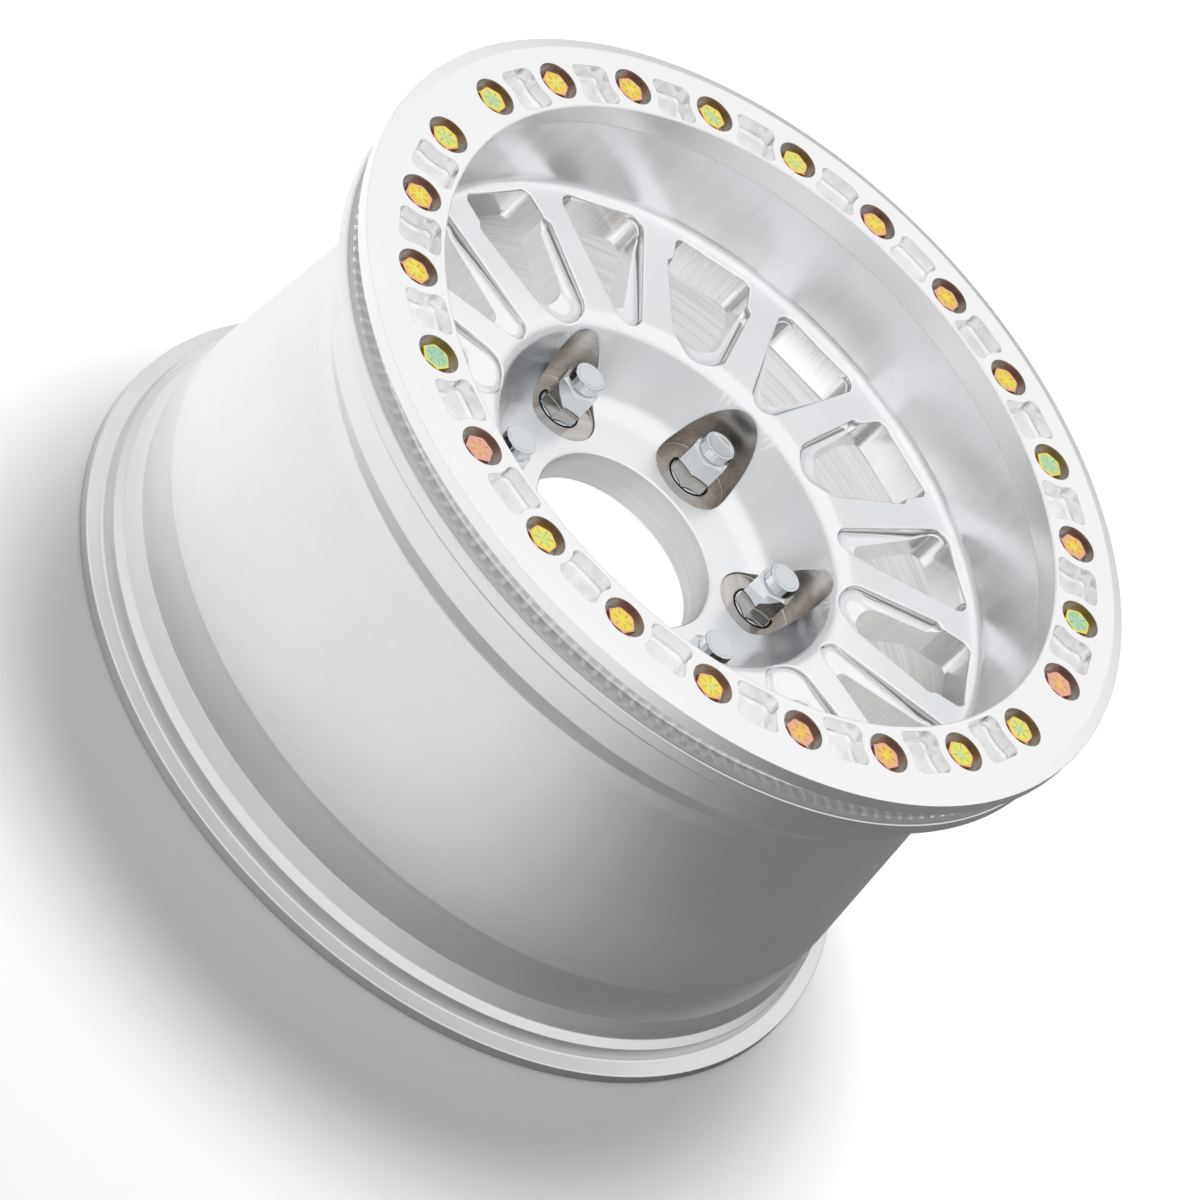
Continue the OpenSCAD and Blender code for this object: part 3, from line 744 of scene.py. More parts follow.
@dataclass(frozen=True)
class Sizes:
    """Driving sizes of wheel, clamp ring and bolts in millimetres, as in the solids."""

    front_z: float = 137.0
    rear_z: float = -118.5
    ring_t: float = 16.7
    lip_t: float = 10.5
    channel_w: float = 15.0
    bead_r: float = 218.5
    flange_r: float = 230.4
    flange_t: float = 9.0
    flange_ease: float = 1.6
    rib_count: int = 180
    rib_h: float = 0.8
    rib_reach: float = 7.0
    rear_flange_r: float = 237.0
    well_r: float = 206.0
    well_z: float = 50.0
    barrel_wall: float = 7.5
    face_z: float = 67.0
    spoke_t: float = 21.5
    face_end_r: float = 190.8
    back_end_r: float = 191.5
    dish_r: float = 193.5
    dish_round: float = 6.5
    dish_seam_r: float = 191.5
    pad_z: float = 23.6
    pad_r: float = 88.0
    bowl_r: float = 106.0
    bowl_round: float = 16.0
    bowl_lip_round: float = 10.0
    bore_r: float = 54.0
    bore_chamfer: float = 0.8
    mount_r: float = 100.0
    back_r: float = 152.0
    lug_r: float = 82.55
    tool_r: float = 21.5
    tool_depth: float = 1.5
    tool_lip: float = 0.5
    tool_fillet: float = 0.8
    foot_r: float = 12.3
    stud_r: float = 7.8
    window_out_r: float = 188.0
    scoop_depth: float = 7.0
    scoop_end: float = 16.0
    scoop_fade: float = 2.0
    edge: float = 1.2
    valve_angle: float = 7.5
    valve_seat_r: float = 9.0
    valve_hole_r: float = 5.75
    valve_grip: float = 14.0
    ring_bore_r: float = 189.1
    ring_r: float = 234.2
    chamfer_w: float = 7.0
    chamfer_h: float = 2.4
    bolt_count: int = 24
    bolt_r: float = 206.0
    recess_r: float = 11.35
    recess_depth: float = 10.0
    hole_r: float = 5.05
    pocket_depth: float = 9.5
    pocket_wall: float = 4.9
    pocket_in_r: float = 192.0
    pocket_out_r: float = 216.0
    pocket_round: float = 4.5
    bare: tuple[int, int] = (0, 12)
    head_z: float = 128.7
    head_af: float = 14.3
    head_h: float = 6.0
    shank_r: float = 4.75
    shank_len: float = 30.0

    @property
    def valve_frame(self) -> tuple[Array, Array, Array, Array]:
        """Centre of the valve's outer seat with its two cross directions and its axis."""
        top = np.array([self.bead_r - 2, self.wall_z - self.flange_t - 25.8])
        foot = np.array([self.well_r, self.well_z + 12])
        out, up = unit(top - foot)
        r, z = foot + 0.4 * (top - foot)
        frame_rows = np.array([[-up, 0, out], [out, 0, up], [0, 1, 0], [r, 0, z]], float)
        axis, e1, e2, start = turned(frame_rows, self.valve_angle)
        return start + 0.6 * axis, e1, e2, axis

    @property
    def seam_z(self) -> float:
        """Height of the seat under the clamp ring."""
        return self.front_z - self.ring_t

    @property
    def wall_z(self) -> float:
        """Height of the front flange's wall."""
        return self.front_z - self.lip_t - self.channel_w

    @property
    def back_z(self) -> float:
        """Height of the spokes' back."""
        return self.face_z - self.spoke_t

    @property
    def rib_angles(self) -> Array:
        """Four angles to each grip rib: its two feet with the two edges of its crest between."""
        shares = np.arange(self.rib_count)[:, None] + np.array([0.0, 0.14, 0.44, 0.58])
        return -shares.ravel() * (tau / self.rib_count)


@dataclass
class Wheel:
    """The one-piece wheel: a centre with sixteen windows inside a turned rim."""

    size: Sizes = Sizes()

    def front(self) -> Rows:
        """Corners of the front profile from the bore to the foot of the dish."""
        s = self.size
        return [(s.bore_r, s.pad_z, 0), (s.pad_r, s.pad_z, s.bowl_round),
                (s.bowl_r, s.face_z, s.bowl_lip_round), (s.dish_r, s.face_z, s.dish_round),
                (s.dish_seam_r, s.seam_z, 0.5), (s.bead_r, s.seam_z, 0)]

    def back(self) -> Rows:
        """Corners of the back profile from the bore to the barrel's inner wall."""
        s = self.size
        return [(s.bore_r, 0, 0), (s.mount_r, 0, 1.0), (s.mount_r + 4, 6, 6.0),
                (s.back_r, s.back_z, 30.0), (s.well_r - s.barrel_wall, s.back_z, 12.0),
                (s.bead_r - s.barrel_wall - 0.6, s.rear_z + 50, 0)]

    def outside(self) -> Rows:
        """Corners of the section from the front flange round the barrel to the spokes' back."""
        s = self.size
        ledge, rear, inner = s.wall_z - s.flange_t, s.rear_z, s.bead_r - s.barrel_wall
        return [(s.flange_r - s.flange_ease, s.wall_z, 0), (s.flange_r, s.wall_z, 1.0),
                (s.flange_r, ledge, 3.0), (s.bead_r - 1, ledge - 2, 3.0),
                (s.bead_r - 2, ledge - 25.8, 1.5), (s.well_r, s.well_z + 12, 6.0),
                (s.well_r, s.well_z + 2, 6.0), (s.bead_r - 0.6, rear + 56, 6.0),
                (s.bead_r - 0.6, rear + 52, 3.0), (s.bead_r, rear + 30, 0.4),
                (s.bead_r + 3.9, rear + 19, 2.0), (s.bead_r + 7.7, rear + 15.3, 1.0),
                (s.bead_r + 9, rear + 7.2, 1.5), (s.rear_flange_r - 0.6, rear + 6.2, 1.0),
                (s.rear_flange_r, rear, 1.5), (s.bead_r + 7, rear, 2.0), (inner, rear + 20, 12.0),
                (inner - 0.6, rear + 50, 20.0), (s.well_r - s.barrel_wall, s.back_z, 12.0),
                (s.back_r, s.back_z, 0)]

    def wedge(self) -> tuple[Array, Array]:
        """Near and through outlines of a wedge window, x round the wheel and y outward."""
        s = self.size
        tip, tip_round, half, corner = 108.6, 8.9, radians(15.5), 7.5
        far_tip, far_round = tip + s.scoop_end, tip_round - 3.6
        apex = tip + tip_round - tip_round / sin(half)
        far_apex = lambda a: far_tip + far_round - far_round / sin(a)
        half_w = (s.window_out_r - apex) * tan(half)
        angle = atan(half_w / (s.window_out_r - far_apex(half + radians(3))))
        right, left = (half_w, s.window_out_r, corner), (-half_w, s.window_out_r, corner)
        return (rounded([right, (0, apex, tip_round), left], 12),
                rounded([right, (0, far_apex(angle), far_round), left], 12))

    def arch(self) -> tuple[Array, Array]:
        """Near and through outlines of an arch window, x round the wheel and y outward."""
        s = self.size

        def outline(notch_w: float, tip_w: float, tip_r: float, wide_r: float) -> Array:
            """Outline with a notch on each side and a round inner end."""
            lean = atan((notch_w - tip_w) / (wide_r - tip_r))
            tip_round = (tip_w - 0.4) * tan(pi / 4 + lean / 2)
            right = [(24.1, s.window_out_r - 0.5, 5.0), (24.1, 170.0, 3.0),
                     (notch_w, wide_r, 3.0), (tip_w, tip_r, tip_round)]
            return rounded(right + [(-x, y, r) for x, y, r in reversed(right)], 9)
        return outline(26.9, 14.4, 106.4, 166.0), outline(22.9, 12.6, 106.4 + s.scoop_end, 164.0)

    def window(self, shell: Shell, shape: tuple[Array, Array], degrees: float, front: Height,
               back: Height) -> tuple[Array, Array]:
        """Adds one window's edge, scoop and wall.

        The edge is a quarter round that drops from the face to the near outline. The scoop
        is a concave quarter between the near and the through outline, steep at its rim and
        level at its foot. The wall is straight down to the back.

        Args:
            shell: Where the surfaces are added.
            shape: The near and the through outline.
            degrees: The window's angle round the wheel.
            front: Height of the face over the radius.
            back: Height of the back over the radius.
        Returns:
            The outlines that the front and the back surface leave free.
        """
        s = self.size
        near, through = (turned(loop, degrees) for loop in filled(shape, 4.0))
        out = outward(near) * s.edge
        rim = [at_height(near + out * away, front(reach(near + out * away)) - s.edge * down)
               for away, down in quarter(5)]
        shell.grid(rim, 1, hole=True)
        deep = s.scoop_depth * np.clip(reach(through - near) / s.scoop_fade, 0, 1)
        top = rim[-1][:, 2]
        low = top - np.maximum(deep - s.edge, 0.3)
        shell.grid([at_height(near + (through - near) * down, top + (low - top) * (1 - away))
                    for away, down in quarter(12)], 1, hole=True)
        foot = back(reach(through))
        shell.grid([at_height(through, low + (foot - low) * t) for t in (0, 0.5, 1)], 6, hole=True)
        return near + out, through

    def lug(self, shell: Shell, degrees: float, front: Height) -> tuple[Array, Array]:
        """Adds one tool pocket with its nut seat and stud hole.

        Each ring of points is a circle about the hole, and only the first rings follow the
        height of the bowl.

        Args:
            shell: Where the surfaces are added.
            degrees: The hole's angle round the wheel.
            front: Height of the bowl over the radius.
        Returns:
            The circles that the front and the back surface leave free.
        """
        s = self.size
        centre = turned(np.array([[s.lug_r, 0.0]]), degrees)[0]
        floor, lip, fillet = s.pad_z - s.tool_depth, s.tool_lip, s.tool_fillet
        ring = lambda r: circle(r, 96, centre)
        bowl = lambda flat: at_height(flat, front(reach(flat)))
        rim = [bowl(ring(s.tool_r + lip * away)) - [0, 0, lip * down] for away, down in quarter(3)]
        shell.grid(rim, 0, hole=True)
        top = rim[-1][:, 2]
        wall = [at_height(ring(s.tool_r), top + (floor + fillet - top) * t)
                for t in (0, 0.33, 0.67, 1)]
        foot = [at_height(ring(s.tool_r - fillet * down), floor + fillet * away)
                for away, down in quarter(4)[1:]]
        shell.grid(wall + foot, 3, hole=True)
        cone_top, cone_r = floor - 1.8, s.foot_r - 1
        cone_foot = cone_top - (cone_r - s.stud_r) / tan(radians(30))
        profile = ((s.tool_r - fillet, floor), (s.foot_r + 0.4, floor), (s.foot_r, floor - 0.4),
                   (s.foot_r, cone_top), (cone_r, cone_top), (s.stud_r, cone_foot),
                   (s.stud_r, 0.6), (s.stud_r + 0.6, 0.0))
        # The two strips with finish 5 (seat) are painted shade in the gap round the nut's collar.
        shell.steps([at_height(ring(r), z) for r, z in profile], (3, 0, 5, 5, 3, 3, 3), True)
        return ring(s.tool_r + lip), ring(s.stud_r + 0.6)

    def centre(self) -> bpy.types.Object:
        """The spokes, hub and bore inside the rim."""
        s = self.size
        front, back = height_over(self.front()), height_over(self.back())
        shell = Shell()
        cuts = [self.window(shell, shape, start + 45 * k, front, back)
                for shape, start in ((self.wedge(), -90.0), (self.arch(), -67.5)) for k in range(8)]
        cuts += [self.lug(shell, 30 + 60 * k, front) for k in range(6)]
        front_holes, back_holes = zip(*cuts)

        def bends(corners: Rows, far: float) -> Array:
            """Radii at which a profile bends."""
            radii = rounded(corners, 10, False)[:, 0]
            return np.unique(np.round(radii[(radii > s.bore_r + 3) & (radii < far)], 1))

        mouth_r = s.bore_r + s.bore_chamfer
        bore, edge = circle(mouth_r, 240), heading(s.rib_angles)
        spread = np.r_[bends(self.front(), s.face_end_r - 0.4), np.arange(60, 80, 6.0),
                       np.arange(120, 186, 8.0)]
        shell.sheet([s.face_end_r * edge, bore, *front_holes], ring_points(spread, 4.0),
                    over_plane(front))
        shell.sheet([s.back_end_r * edge, bore, *back_holes],
                    ring_points(bends(self.back(), s.back_end_r - 0.5), 6.0), over_plane(back),
                    2, True)
        profile = ((mouth_r, s.pad_z), (s.bore_r, s.pad_z - s.bore_chamfer),
                   (s.bore_r, s.bore_chamfer), (mouth_r, 0.0))
        shell.steps(spun(profile, clockwise(240)), (0, 4, 0), True)
        # The finish seat is painted shade: near black in the gap round each nut.
        return shell.build("wheel_centre", aluminium("face", "scoop", "milled", "pocket", "bore",
                                                     "seat", "window"))

    def channel(self, shell: Shell, finish: int) -> None:
        """Adds the ribbed bead channel.

        Its section runs down the floor, round the fillet and up the flange's wall. Each
        point is lifted along the section's normal by the rib's height where the rib's crest
        passes, and the lift fades at both ends of the ribs.
        """
        s = self.size
        base = rounded([(s.bead_r, s.seam_z - 0.5, 0), (s.bead_r, s.wall_z, 2.5),
                        (s.flange_r - s.flange_ease, s.wall_z, 0)], 6, False)
        floor = s.seam_z - 0.5 - s.wall_z
        top = floor + s.rib_reach
        stops = [0, 0.3, 0.9, floor / 2, floor - 2.4, floor - 1.9, floor - 1.3, floor - 0.7,
                 floor, floor + 1.2, top - 2.2, top - 1.5, top - 0.8, top - 0.3, top, top + 1.2]
        length = float(reach(np.diff(base, axis=0)).sum())
        stops = np.array([d for d in stops if d < length - 0.2] + [length])
        fine = 400
        step = unit(np.gradient(along(base, np.linspace(0, length, fine)), axis=0))
        pick = np.clip((stops / length * (fine - 1)).round().astype(int), 0, fine - 1)
        rise = np.interp(stops, [0.3, 0.9, top - 2.2, top - 1.5, top - 0.8, top - 0.3, top],
                         [0, 1, 1, 0.86, 0.6, 0.3, 0])
        lift = rise[:, None] * s.rib_h * np.tile([0.0, 1.0, 1.0, 0.0], s.rib_count)
        section, away = (np.stack(spun(line, s.rib_angles)) for line in (
            along(base, stops), np.c_[-step[pick, 1], step[pick, 0]]))
        shell.grid(section + away * lift[..., None], finish)

    def dish_wall(self, shell: Shell, low: Array, high: Array) -> None:
        """Adds the dish's wall with the valve's seat sunk in it.

        The wall is a cone. Its part round the valve is unrolled to arc length and height,
        triangulated round the seat's outline and rolled up again. Each point of that
        outline lies on a cylinder about the valve's axis, at the distance where its radius
        from the wheel's axis equals the cone's, found by halving.

        Args:
            shell: Where the surface is added.
            low: Radius and height at the wall's foot.
            high: Radius and height at its top.
        """
        s, angles = self.size, self.size.rib_angles
        rows, mid = 5, 0.5 * (low[0] + high[0])
        line = np.linspace(low, high, rows)
        first, last = 4 * 173, 4 * 179
        shell.grid(spun(line, np.r_[angles[last:], angles[:first + 1]]), 0, wrap=False)
        middle = radians(s.valve_angle)
        span, rise = (angles[first:last + 1] + tau - middle) * mid, line[:, 1]
        outer = np.r_[at_height(span[:, None], rise[-1]),
                      np.c_[np.full(rows - 2, span[-1]), rise[-2:0:-1]],
                      at_height(span[::-1, None], rise[0]),
                      np.c_[np.full(rows - 2, span[0]), rise[1:-1]]]
        lean = (high[0] - low[0]) / (high[1] - low[1])
        cone = lambda z: low[0] + (z - low[1]) * lean

        def rolled(points: Array) -> tuple[Array, Array]:
            """Points and normals of the cone over unrolled places."""
            out = heading(points[:, 0] / mid + middle)
            return np.c_[cone(points[:, 1:]) * out, points[:, 1]], unit(at_height(out, -lean))

        centre, e1, e2, axis = s.valve_frame
        sides = 72
        turn = np.arange(sides)[:, None] * tau / sides
        about = lambda r, t: centre + r * (np.cos(turn) * e1 + np.sin(turn) * e2) + t * axis
        near, far = np.full((sides, 1), s.valve_grip), np.full((sides, 1), 60.0)
        for _ in range(40):
            half = (near + far) / 2
            at = about(s.valve_seat_r, half)
            beyond = (reach(at) > cone(at[:, 2]))[:, None]
            near, far = np.where(beyond, half, near), np.where(beyond, far, half)
        mouth = about(s.valve_seat_r, near)
        hole = np.c_[(np.arctan2(mouth[:, 1], mouth[:, 0]) - middle) * mid, mouth[:, 2]]
        spread = np.meshgrid(np.linspace(-18, 18, 9), np.linspace(rise[0], rise[-1], 11))
        shell.sheet([outer, hole], np.stack(spread, -1).reshape(-1, 2), rolled, 0, True)
        depth = near - s.valve_grip
        wall = [about(s.valve_seat_r, s.valve_grip + depth * t) for t in (1, 0.66, 0.33, 0)]
        shell.grid(wall)
        shell.steps([wall[-1], *(about(s.valve_hole_r, t) for t in (s.valve_grip, 4.0))], (3, 3))

    def barrel(self) -> bpy.types.Object:
        """The rim: its section turned round the axis, with the ribs in its bead channel."""
        s = self.size
        rise = float(height_over(self.front())(s.face_end_r))
        foot = float(height_over(self.back())(s.back_end_r))
        dish = rounded([(s.bowl_r, s.face_z, 0), (s.dish_r, s.face_z, s.dish_round),
                        (s.dish_seam_r, s.seam_z, 0)], 10, False)
        above = (dish[:, 0] > s.face_end_r) & (dish[:, 1] > rise)
        dish = np.r_[[[s.face_end_r, rise]], dish[above]]
        seat = np.array([(s.dish_seam_r, s.seam_z), (s.dish_seam_r + 0.6, s.seam_z),
                         (s.bead_r - 0.5, s.seam_z), (s.bead_r, s.seam_z - 0.5)])
        outside = rounded(self.outside(), 5, False)
        r, z = outside.T
        outside = np.r_[outside[(r > s.back_end_r + 0.1) | (z > s.back_z + 1) | (z < 0)],
                        [[s.back_end_r, foot]]]
        turn = np.nonzero(outside[:, 0] >= s.rear_flange_r - 2)[0].max()
        lip = np.nonzero(outside[:turn, 1] > s.rear_z + 24)[0].max()
        shell = Shell()
        # Finish 4 (flange) on the rear flange is painted shade, darker than the turned finish of
        # the barrel.
        for line, finish in ((dish[:-1], 0), (seat, 1), (outside[:lip + 1], 2),
                             (outside[lip:turn + 1], 4), (outside[turn:], 3)):
            shell.grid(spun(line, s.rib_angles), finish)
        self.dish_wall(shell, dish[-2], dish[-1])
        self.channel(shell, 1)
        return shell.build("wheel_rim", aluminium("polished", "grip", "turned", "milled", "flange"))


# The clamp ring, its bolts and the lug nuts

@dataclass
class ClampRing:
    """The ring that clamps the outer tyre bead, with its bolts."""

    size: Sizes = Sizes()
    around: int = 360

    def pocket(self) -> Array:
        """Clockwise outline of a pocket, whose sides are arcs about the neighbouring bolts."""
        s = self.size
        half_step = pi / s.bolt_count
        bolt = np.array([sin(half_step), cos(half_step)]) * s.bolt_r
        side = s.recess_r + s.pocket_wall

        def corner(y: float) -> tuple[Array, Array]:
            """A corner's centre and the point where its arc meets the side."""
            x = bolt[0] - sqrt((side + s.pocket_round) ** 2 - (y - bolt[1]) ** 2)
            at = np.array([x, y])
            return at, at + s.pocket_round * unit(bolt - at)

        up = np.array([0, s.pocket_round])
        (c1, t1), (c0, t0) = corner(s.pocket_out_r - up[1]), corner(s.pocket_in_r + up[1])
        half = np.r_[arc(c1, c1 + up, t1, 6), arc(bolt, t1, t0, 6)[1:],
                     arc(c0, t0, c0 - up, 6)[1:]]
        return np.r_[half, half[::-1] * [-1, 1]]

    def cut(self, shell: Shell, loop: Array, depth: float, edge: float, foot: float,
            finish: int) -> tuple[Array, Array]:
        """Adds a pocket's rounded edge, wall and fillet.

        Args:
            shell: Where the surfaces are added.
            loop: The wall's outline.
            depth: The pocket's depth.
            edge: Radius of its upper edge.
            foot: Radius of the fillet at its foot.
            finish: Which of the ring's materials its wall has.
        Returns:
            The outline left free in the ring's face and the one left free in the floor.
        """
        out, z = outward(loop), self.size.front_z
        shell.grid([at_height(loop + out * edge * away, z - edge * down)
                    for away, down in quarter(3)], 0, hole=True)
        wall = [at_height(loop, z - edge + (edge + foot - depth) * t) for t in (0, 0.5)]
        fillet = [at_height(loop - out * foot * down, z - depth + foot * away)
                  for away, down in quarter(8)]
        shell.grid(wall + fillet, finish, hole=True)
        return loop + out * edge, loop - out * foot

    def ring(self) -> bpy.types.Object:
        """The ring itself."""
        s = self.size
        shell, holes, feet = Shell(), [], []
        step, floor = 360 / s.bolt_count, s.front_z - s.recess_depth
        for k in range(s.bolt_count):
            centre = turned(np.array([[s.bolt_r, 0.0]]), (k + 0.5) * step)[0]
            loop = circle(s.recess_r, 48, centre)
            hole, rest = self.cut(shell, loop, s.recess_depth, 0.5, 0.4, 1)
            holes.append(hole)
            feet.append(circle(s.hole_r, 48, centre))
            shell.steps([at_height(rest, floor), at_height(feet[-1], floor),
                         at_height(feet[-1], s.seam_z)], (1, 1), True)
            if k not in s.bare:
                loop = turned(filled([self.pocket()], 3.0)[0], k * step - 90)
                hole, rest = self.cut(shell, loop, s.pocket_depth, 0.6, 2.6, 2)
                holes.append(hole)
                shell.fan(at_height(rest, s.front_z - s.pocket_depth), 2)
        level = lambda z: over_plane(lambda r: np.full(np.shape(r), z))
        inner, outer, seam_r = s.ring_bore_r + 0.6, s.ring_r - s.chamfer_w, s.dish_seam_r
        spread = ring_points((197.0, 222.0), 6.0)
        rings = [circle(r, self.around) for r in (outer - 0.3, inner, s.bead_r, seam_r + 0.3)]
        shell.sheet([*rings[:2], *holes], spread, level(s.front_z))
        shell.sheet([*rings[2:], *feet], spread, level(s.seam_z), 0, True)
        lip_z = s.front_z - s.lip_t
        bore = rounded([(seam_r + 0.3, s.seam_z, 0), (seam_r, s.seam_z + 0.3, 0),
                        (s.ring_bore_r, s.front_z, 0.6), (inner, s.front_z, 0)], 6, False)
        rim = rounded([(outer - 0.3, s.front_z, 0), (outer + 0.3, s.front_z - 0.1, 0),
                       (s.ring_r, s.front_z - s.chamfer_h, 0.6), (s.ring_r, lip_z, 1.0),
                       (s.bead_r, lip_z, 0)], 5, False)
        for line in (bore, rim, [(s.bead_r, lip_z), (s.bead_r, s.seam_z)]):
            shell.grid(spun(line, clockwise(self.around)))
        return shell.build("clamp_ring", aluminium("ring", "recess", "ring_pocket"))

    def bolts(self, films: Sequence[float]) -> bpy.types.Object:
        """Hexagon bolts with a turned chamfer at the top.

        The hexagon's radius at an angle is half its width over the cosine of the angle to
        the nearest flat. The chamfer is a cone that meets the hexagon in curved edges.

        Args:
            films: Thickness of each bolt's zinc film, from 0 to 1.
        Returns:
            One piece with all bolts.
        """
        s = self.size
        shell, angle = Shell(), clockwise(72)
        flat_r, high, sink, edge = s.head_af / 2, s.head_h, 0.12, 0.5
        hexagon = six_sided(flat_r, angle)
        top = np.minimum(hexagon - 0.15, flat_r * 1.065)
        drop = high - sink - (hexagon - top) * 0.6
        crown = [(0.1, high - 0.15), (2.5, high - sink), (4.6, high - 0.05)]
        crown += [(top - edge * away, high - sink * down) for away, down in quarter(3)]
        shell.grid(spun(crown, angle))
        shell.grid(spun([(top + (hexagon - top) * t, high - sink + (drop - high + sink) * t)
                         for t in (0, 0.5, 1)], angle))
        shell.hexagon(hexagon, angle, drop, 0 * drop, 6)
        shell.grid(spun([(hexagon, 0), (s.shank_r, 0), (s.shank_r, -s.shank_len),
                         (0.1, -s.shank_len)], angle))
        step = 360 / s.bolt_count
        shell.repeat([(25 * k, s.bolt_r, (k + 0.5) * step, film) for k, film in enumerate(films)],
                     s.head_z)
        return shell.build("clamp_bolts", [MADE["yellow_zinc"]])


@dataclass
class LugNuts:
    """Closed chrome nuts in their seats; heights count from the rim of the seat's cone."""

    count: int = 6
    lug_r: float = 82.55
    base_z: float = 20.35
    start: float = 30.0
    turn: float = 4.0
    flat_r: float = 10.3
    collar_r: float = 11.3
    collar_h: float = 2.0
    hex_h: float = 21.0
    cap_r: float = 9.0
    cap_h: float = 7.0
    stud_r: float = 7.85
    cone_h: float = 5.9
    flutes: int = 18
    flute: float = 0.16
    ease: float = 0.7
    neck: float = 0.35

    def nuts(self) -> bpy.types.Object:
        """All nuts as one piece.

        The cap's side has shallow flutes, r = cap - flute (1 - cos(n angle)) / 2, and the
        hexagon's shoulder is a cone that leaves its corners lower than its flats.

        Returns:
            The piece.
        """
        shell, angle = Shell(), clockwise(144)
        hexagon, cap_r = six_sided(self.flat_r, angle), self.cap_r
        shoulder = self.collar_h + self.hex_h
        top = shoulder + self.cap_h
        side = cap_r - self.flute * (1 - np.cos(self.flutes * angle)) / 2
        disc = [(0.1, top - 0.22), (6.6, top - 0.22), (6.9, top - 0.2), (7.2, top - 0.06),
                (7.5, top)]
        disc += [(side - (side - cap_r + self.ease) * away, top - self.ease * down)
                 for away, down in quarter(5)]
        shell.grid(spun(disc, angle))
        shell.grid(spun([(side, top - self.ease), (side, top - 3), (side, shoulder + 1.2),
                         (side, shoulder + 0.5), (side - self.neck, shoulder + 0.25),
                         (side - self.neck, shoulder)], angle))
        drop = shoulder - (hexagon - cap_r) * 0.42
        shell.grid(spun([(side - self.neck, shoulder), (cap_r, shoulder),
                         ((hexagon + cap_r) / 2, (drop + shoulder) / 2), (hexagon, drop)], angle))
        low = self.collar_h - 0.3 + np.maximum(hexagon - self.collar_r, 0) * 0.9
        shell.hexagon(hexagon, angle, drop, low)
        groove = np.minimum(hexagon, self.collar_r) - 0.4
        shell.grid(spun([(hexagon, low), (groove, self.collar_h - 0.3)], angle))
        shell.grid(spun([(groove, self.collar_h), (self.collar_r - 0.3, self.collar_h),
                         (self.collar_r, self.collar_h - 0.3), (self.collar_r, 0),
                         (self.stud_r, -self.cone_h), (0.1, -self.cone_h)], angle))
        step = 360 / self.count
        shell.repeat([(self.turn * k, self.lug_r, self.start + step * k, 0.0)
                      for k in range(self.count)], self.base_z)
        return shell.build("chrome_nuts", [MADE["chrome_plate"]])


# The stage

def lamp(name: str, place: Sequence[float], size: float, power: float,
         down: Sequence[float] | None = None, shine: bool = True) -> None:
    """A soft round lamp that looks at the wheel, or along a given direction.

    Args:
        name: Its name.
        place: Where it stands, in metres.
        size: Its diameter in metres.
        power: Its power in watts.
        down: The direction in which it shines.
        shine: Whether metal shows it.
    """
    light = bpy.data.lights.new(name, "AREA")
    light.shape, light.size, light.energy = "DISK", size, power
    piece = bpy.data.objects.new(name, light)
    aim = Vector(down) if down else -Vector(place)
    piece.location, piece.rotation_euler = place, aim.to_track_quat("-Z", "Y").to_euler()
    piece.visible_camera, piece.visible_glossy = False, shine
    bpy.context.scene.collection.objects.link(piece)


def lay_floor(low: float, reach_m: float = 6.0) -> None:
    """A white floor that keeps the wheel's shadow.

    For all rays but the camera's it turns darker on one side, a painted shade that metal shows on
    the barrel.
    Under the wheel it glows for the camera alone, painted light, so that bore and windows look out
    on white.

    Args:
        low: Height of the floor in metres.
        reach_m: Half its width in metres.
    """
    web = Web("floor_white_painted_shade_and_light")
    x, y, _ = web.split(web.place())
    camera = web.ray("Camera")
    # Painted shade: for rays other than the camera's the floor darkens towards one side, down to
    # 0.19, and metal reflects it.
    away = (x + y * 0.6).ramp(-0.30, 0.36) * (1 - camera)
    tone = web.mix(away, (0.98, 0.98, 0.98), (0.19, 0.19, 0.19))
    diffuse = web.node("BsdfDiffuse", {"Color": tone})
    glow = web.node("Emission", {"Color": (1, 1, 1, 1), "Strength": 1.0})
    # Painted light: the floor under the wheel glows white for the camera, where the wheel's shadow
    # falls.
    painted_light_under_wheel = 1 - web.polar(x, y)[0].ramp(0.220, 0.236)
    share = camera * (painted_light_under_wheel * 0.95 + 0.05)
    mesh = bpy.data.meshes.new("floor")
    corners = [(x * reach_m, y * reach_m, low) for x, y in ((-1, -1), (1, -1), (1, 1), (-1, 1))]
    mesh.from_pydata(corners, [], [(0, 1, 2, 3)])
    mesh.materials.append(web.blend(share, diffuse, glow))
    floor = bpy.data.objects.new("floor", mesh)
    bpy.context.scene.collection.objects.link(floor)


def hang_sky() -> None:
    """A soft even world, which camera and glass see white and metal sees dimmer low down."""
    web = Web("studio", world=True)
    camera = web.ray("Camera")
    seen = camera.most(web.ray("Glossy")).most(web.ray("Transmission"))
    rise = web.split(web.place("Generated"))[2].ramp(0.0, 0.55) * 0.30 + 0.70
    light = web.node("Background", {"Color": (0.97, 0.985, 1, 1), "Strength": 0.34})
    white = web.node("Background", {"Color": (1, 1, 1, 1), "Strength": rise.most(camera)})
    bpy.context.scene.world = web.blend(seen, light, white)


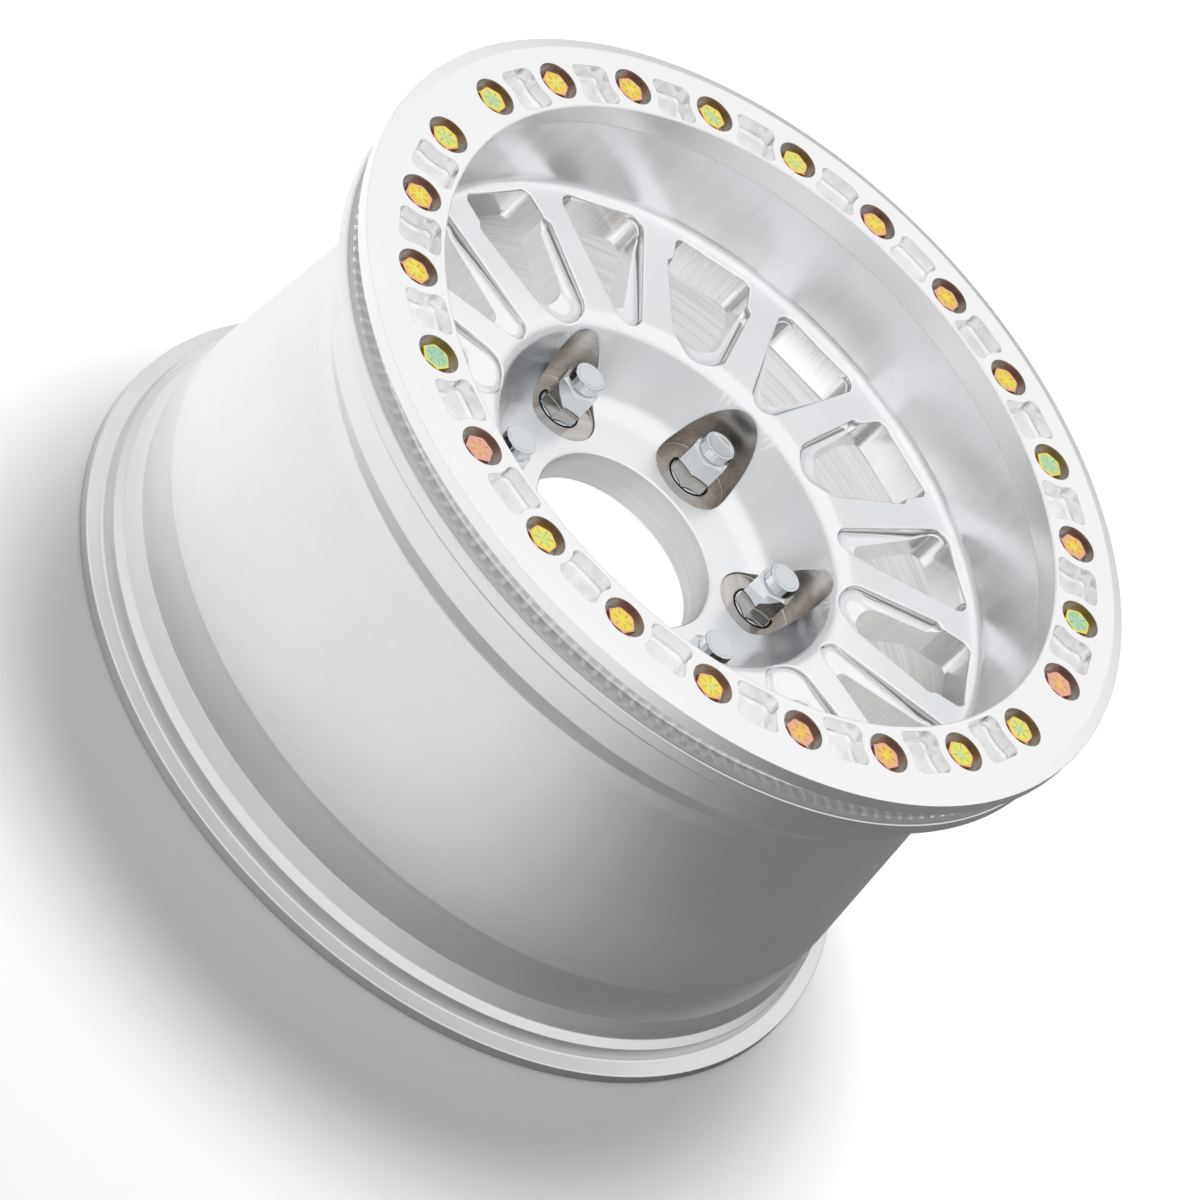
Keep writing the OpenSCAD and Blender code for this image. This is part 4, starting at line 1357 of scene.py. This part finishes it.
def stage() -> None:
    """Floor, sky, soft lamps and the photograph's camera."""
    scene, low = bpy.context.scene, CAD_BOX[0][2]
    lay_floor(low)
    hang_sky()
    lamp("key", (-0.15, 0.85, 2.50), 1.0, 62.0, shine=False)
    lamp("inside", (0, 0, low + 0.002), 0.38, 0.24, (0, 0, 1))
    lens = bpy.data.cameras.new("camera")
    lens.sensor_width, lens.lens = 36.0, 205.88
    lens.clip_start, lens.clip_end = 0.1, 50.0
    camera = bpy.data.objects.new("camera", lens)
    camera.location = (0.0009, -2.8457, 2.0372)
    camera.rotation_euler = tuple(radians(a) for a in (43.9203, -35.7311, 30.9743))
    scene.collection.objects.link(camera)
    scene.camera = camera
    scene.view_settings.view_transform = "Standard"


FILMS = (0.12, 0.90, 0.28, 0.85, 0.40, 0.30, 0.38, 0.66, 0.70, 0.38, 0.45, 0.72,
         0.66, 0.42, 0.45, 0.95, 0.06, 0.62, 0.45, 0.52, 0.20, 0.26, 0.62, 0.66)
DRESS = {"ring_washers": "washer_zinc_painted_shade", "valve_stem": "nickel_plate", "valve_nut": "nickel_plate",
         "valve_cap": "nickel_plate", "valve_core": "brass", "valve_seal": "black_rubber"}


def main() -> None:
    """Builds the looks piece by piece and reports each."""
    logging.basicConfig(level=logging.INFO, format="%(message)s")
    MADE.update({finish.name: finish.make() for finish in FINISHES})
    wheel, clamp = Wheel(), ClampRing()
    made = [(wheel.centre(), "machined_aluminium", ("wheel",)),
            (wheel.barrel(), "machined_aluminium", ()),
            (clamp.ring(), "ring_aluminium", ("beadlock_ring",)),
            (clamp.bolts(FILMS), "yellow_zinc", ("ring_bolts",)),
            (LugNuts().nuts(), "chrome_steel", ("lug_nuts",))]
    for piece, slot, stands_for in made:
        if stands_for:
            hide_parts(*stands_for)
        LOG.info("%s: %d faces", piece.name, len(piece.data.polygons))
    for node, finish in DRESS.items():
        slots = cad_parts[node].data.materials
        slots.clear()
        slots.append(MADE[finish])
    stage()


if __name__ == "__main__":
    main()
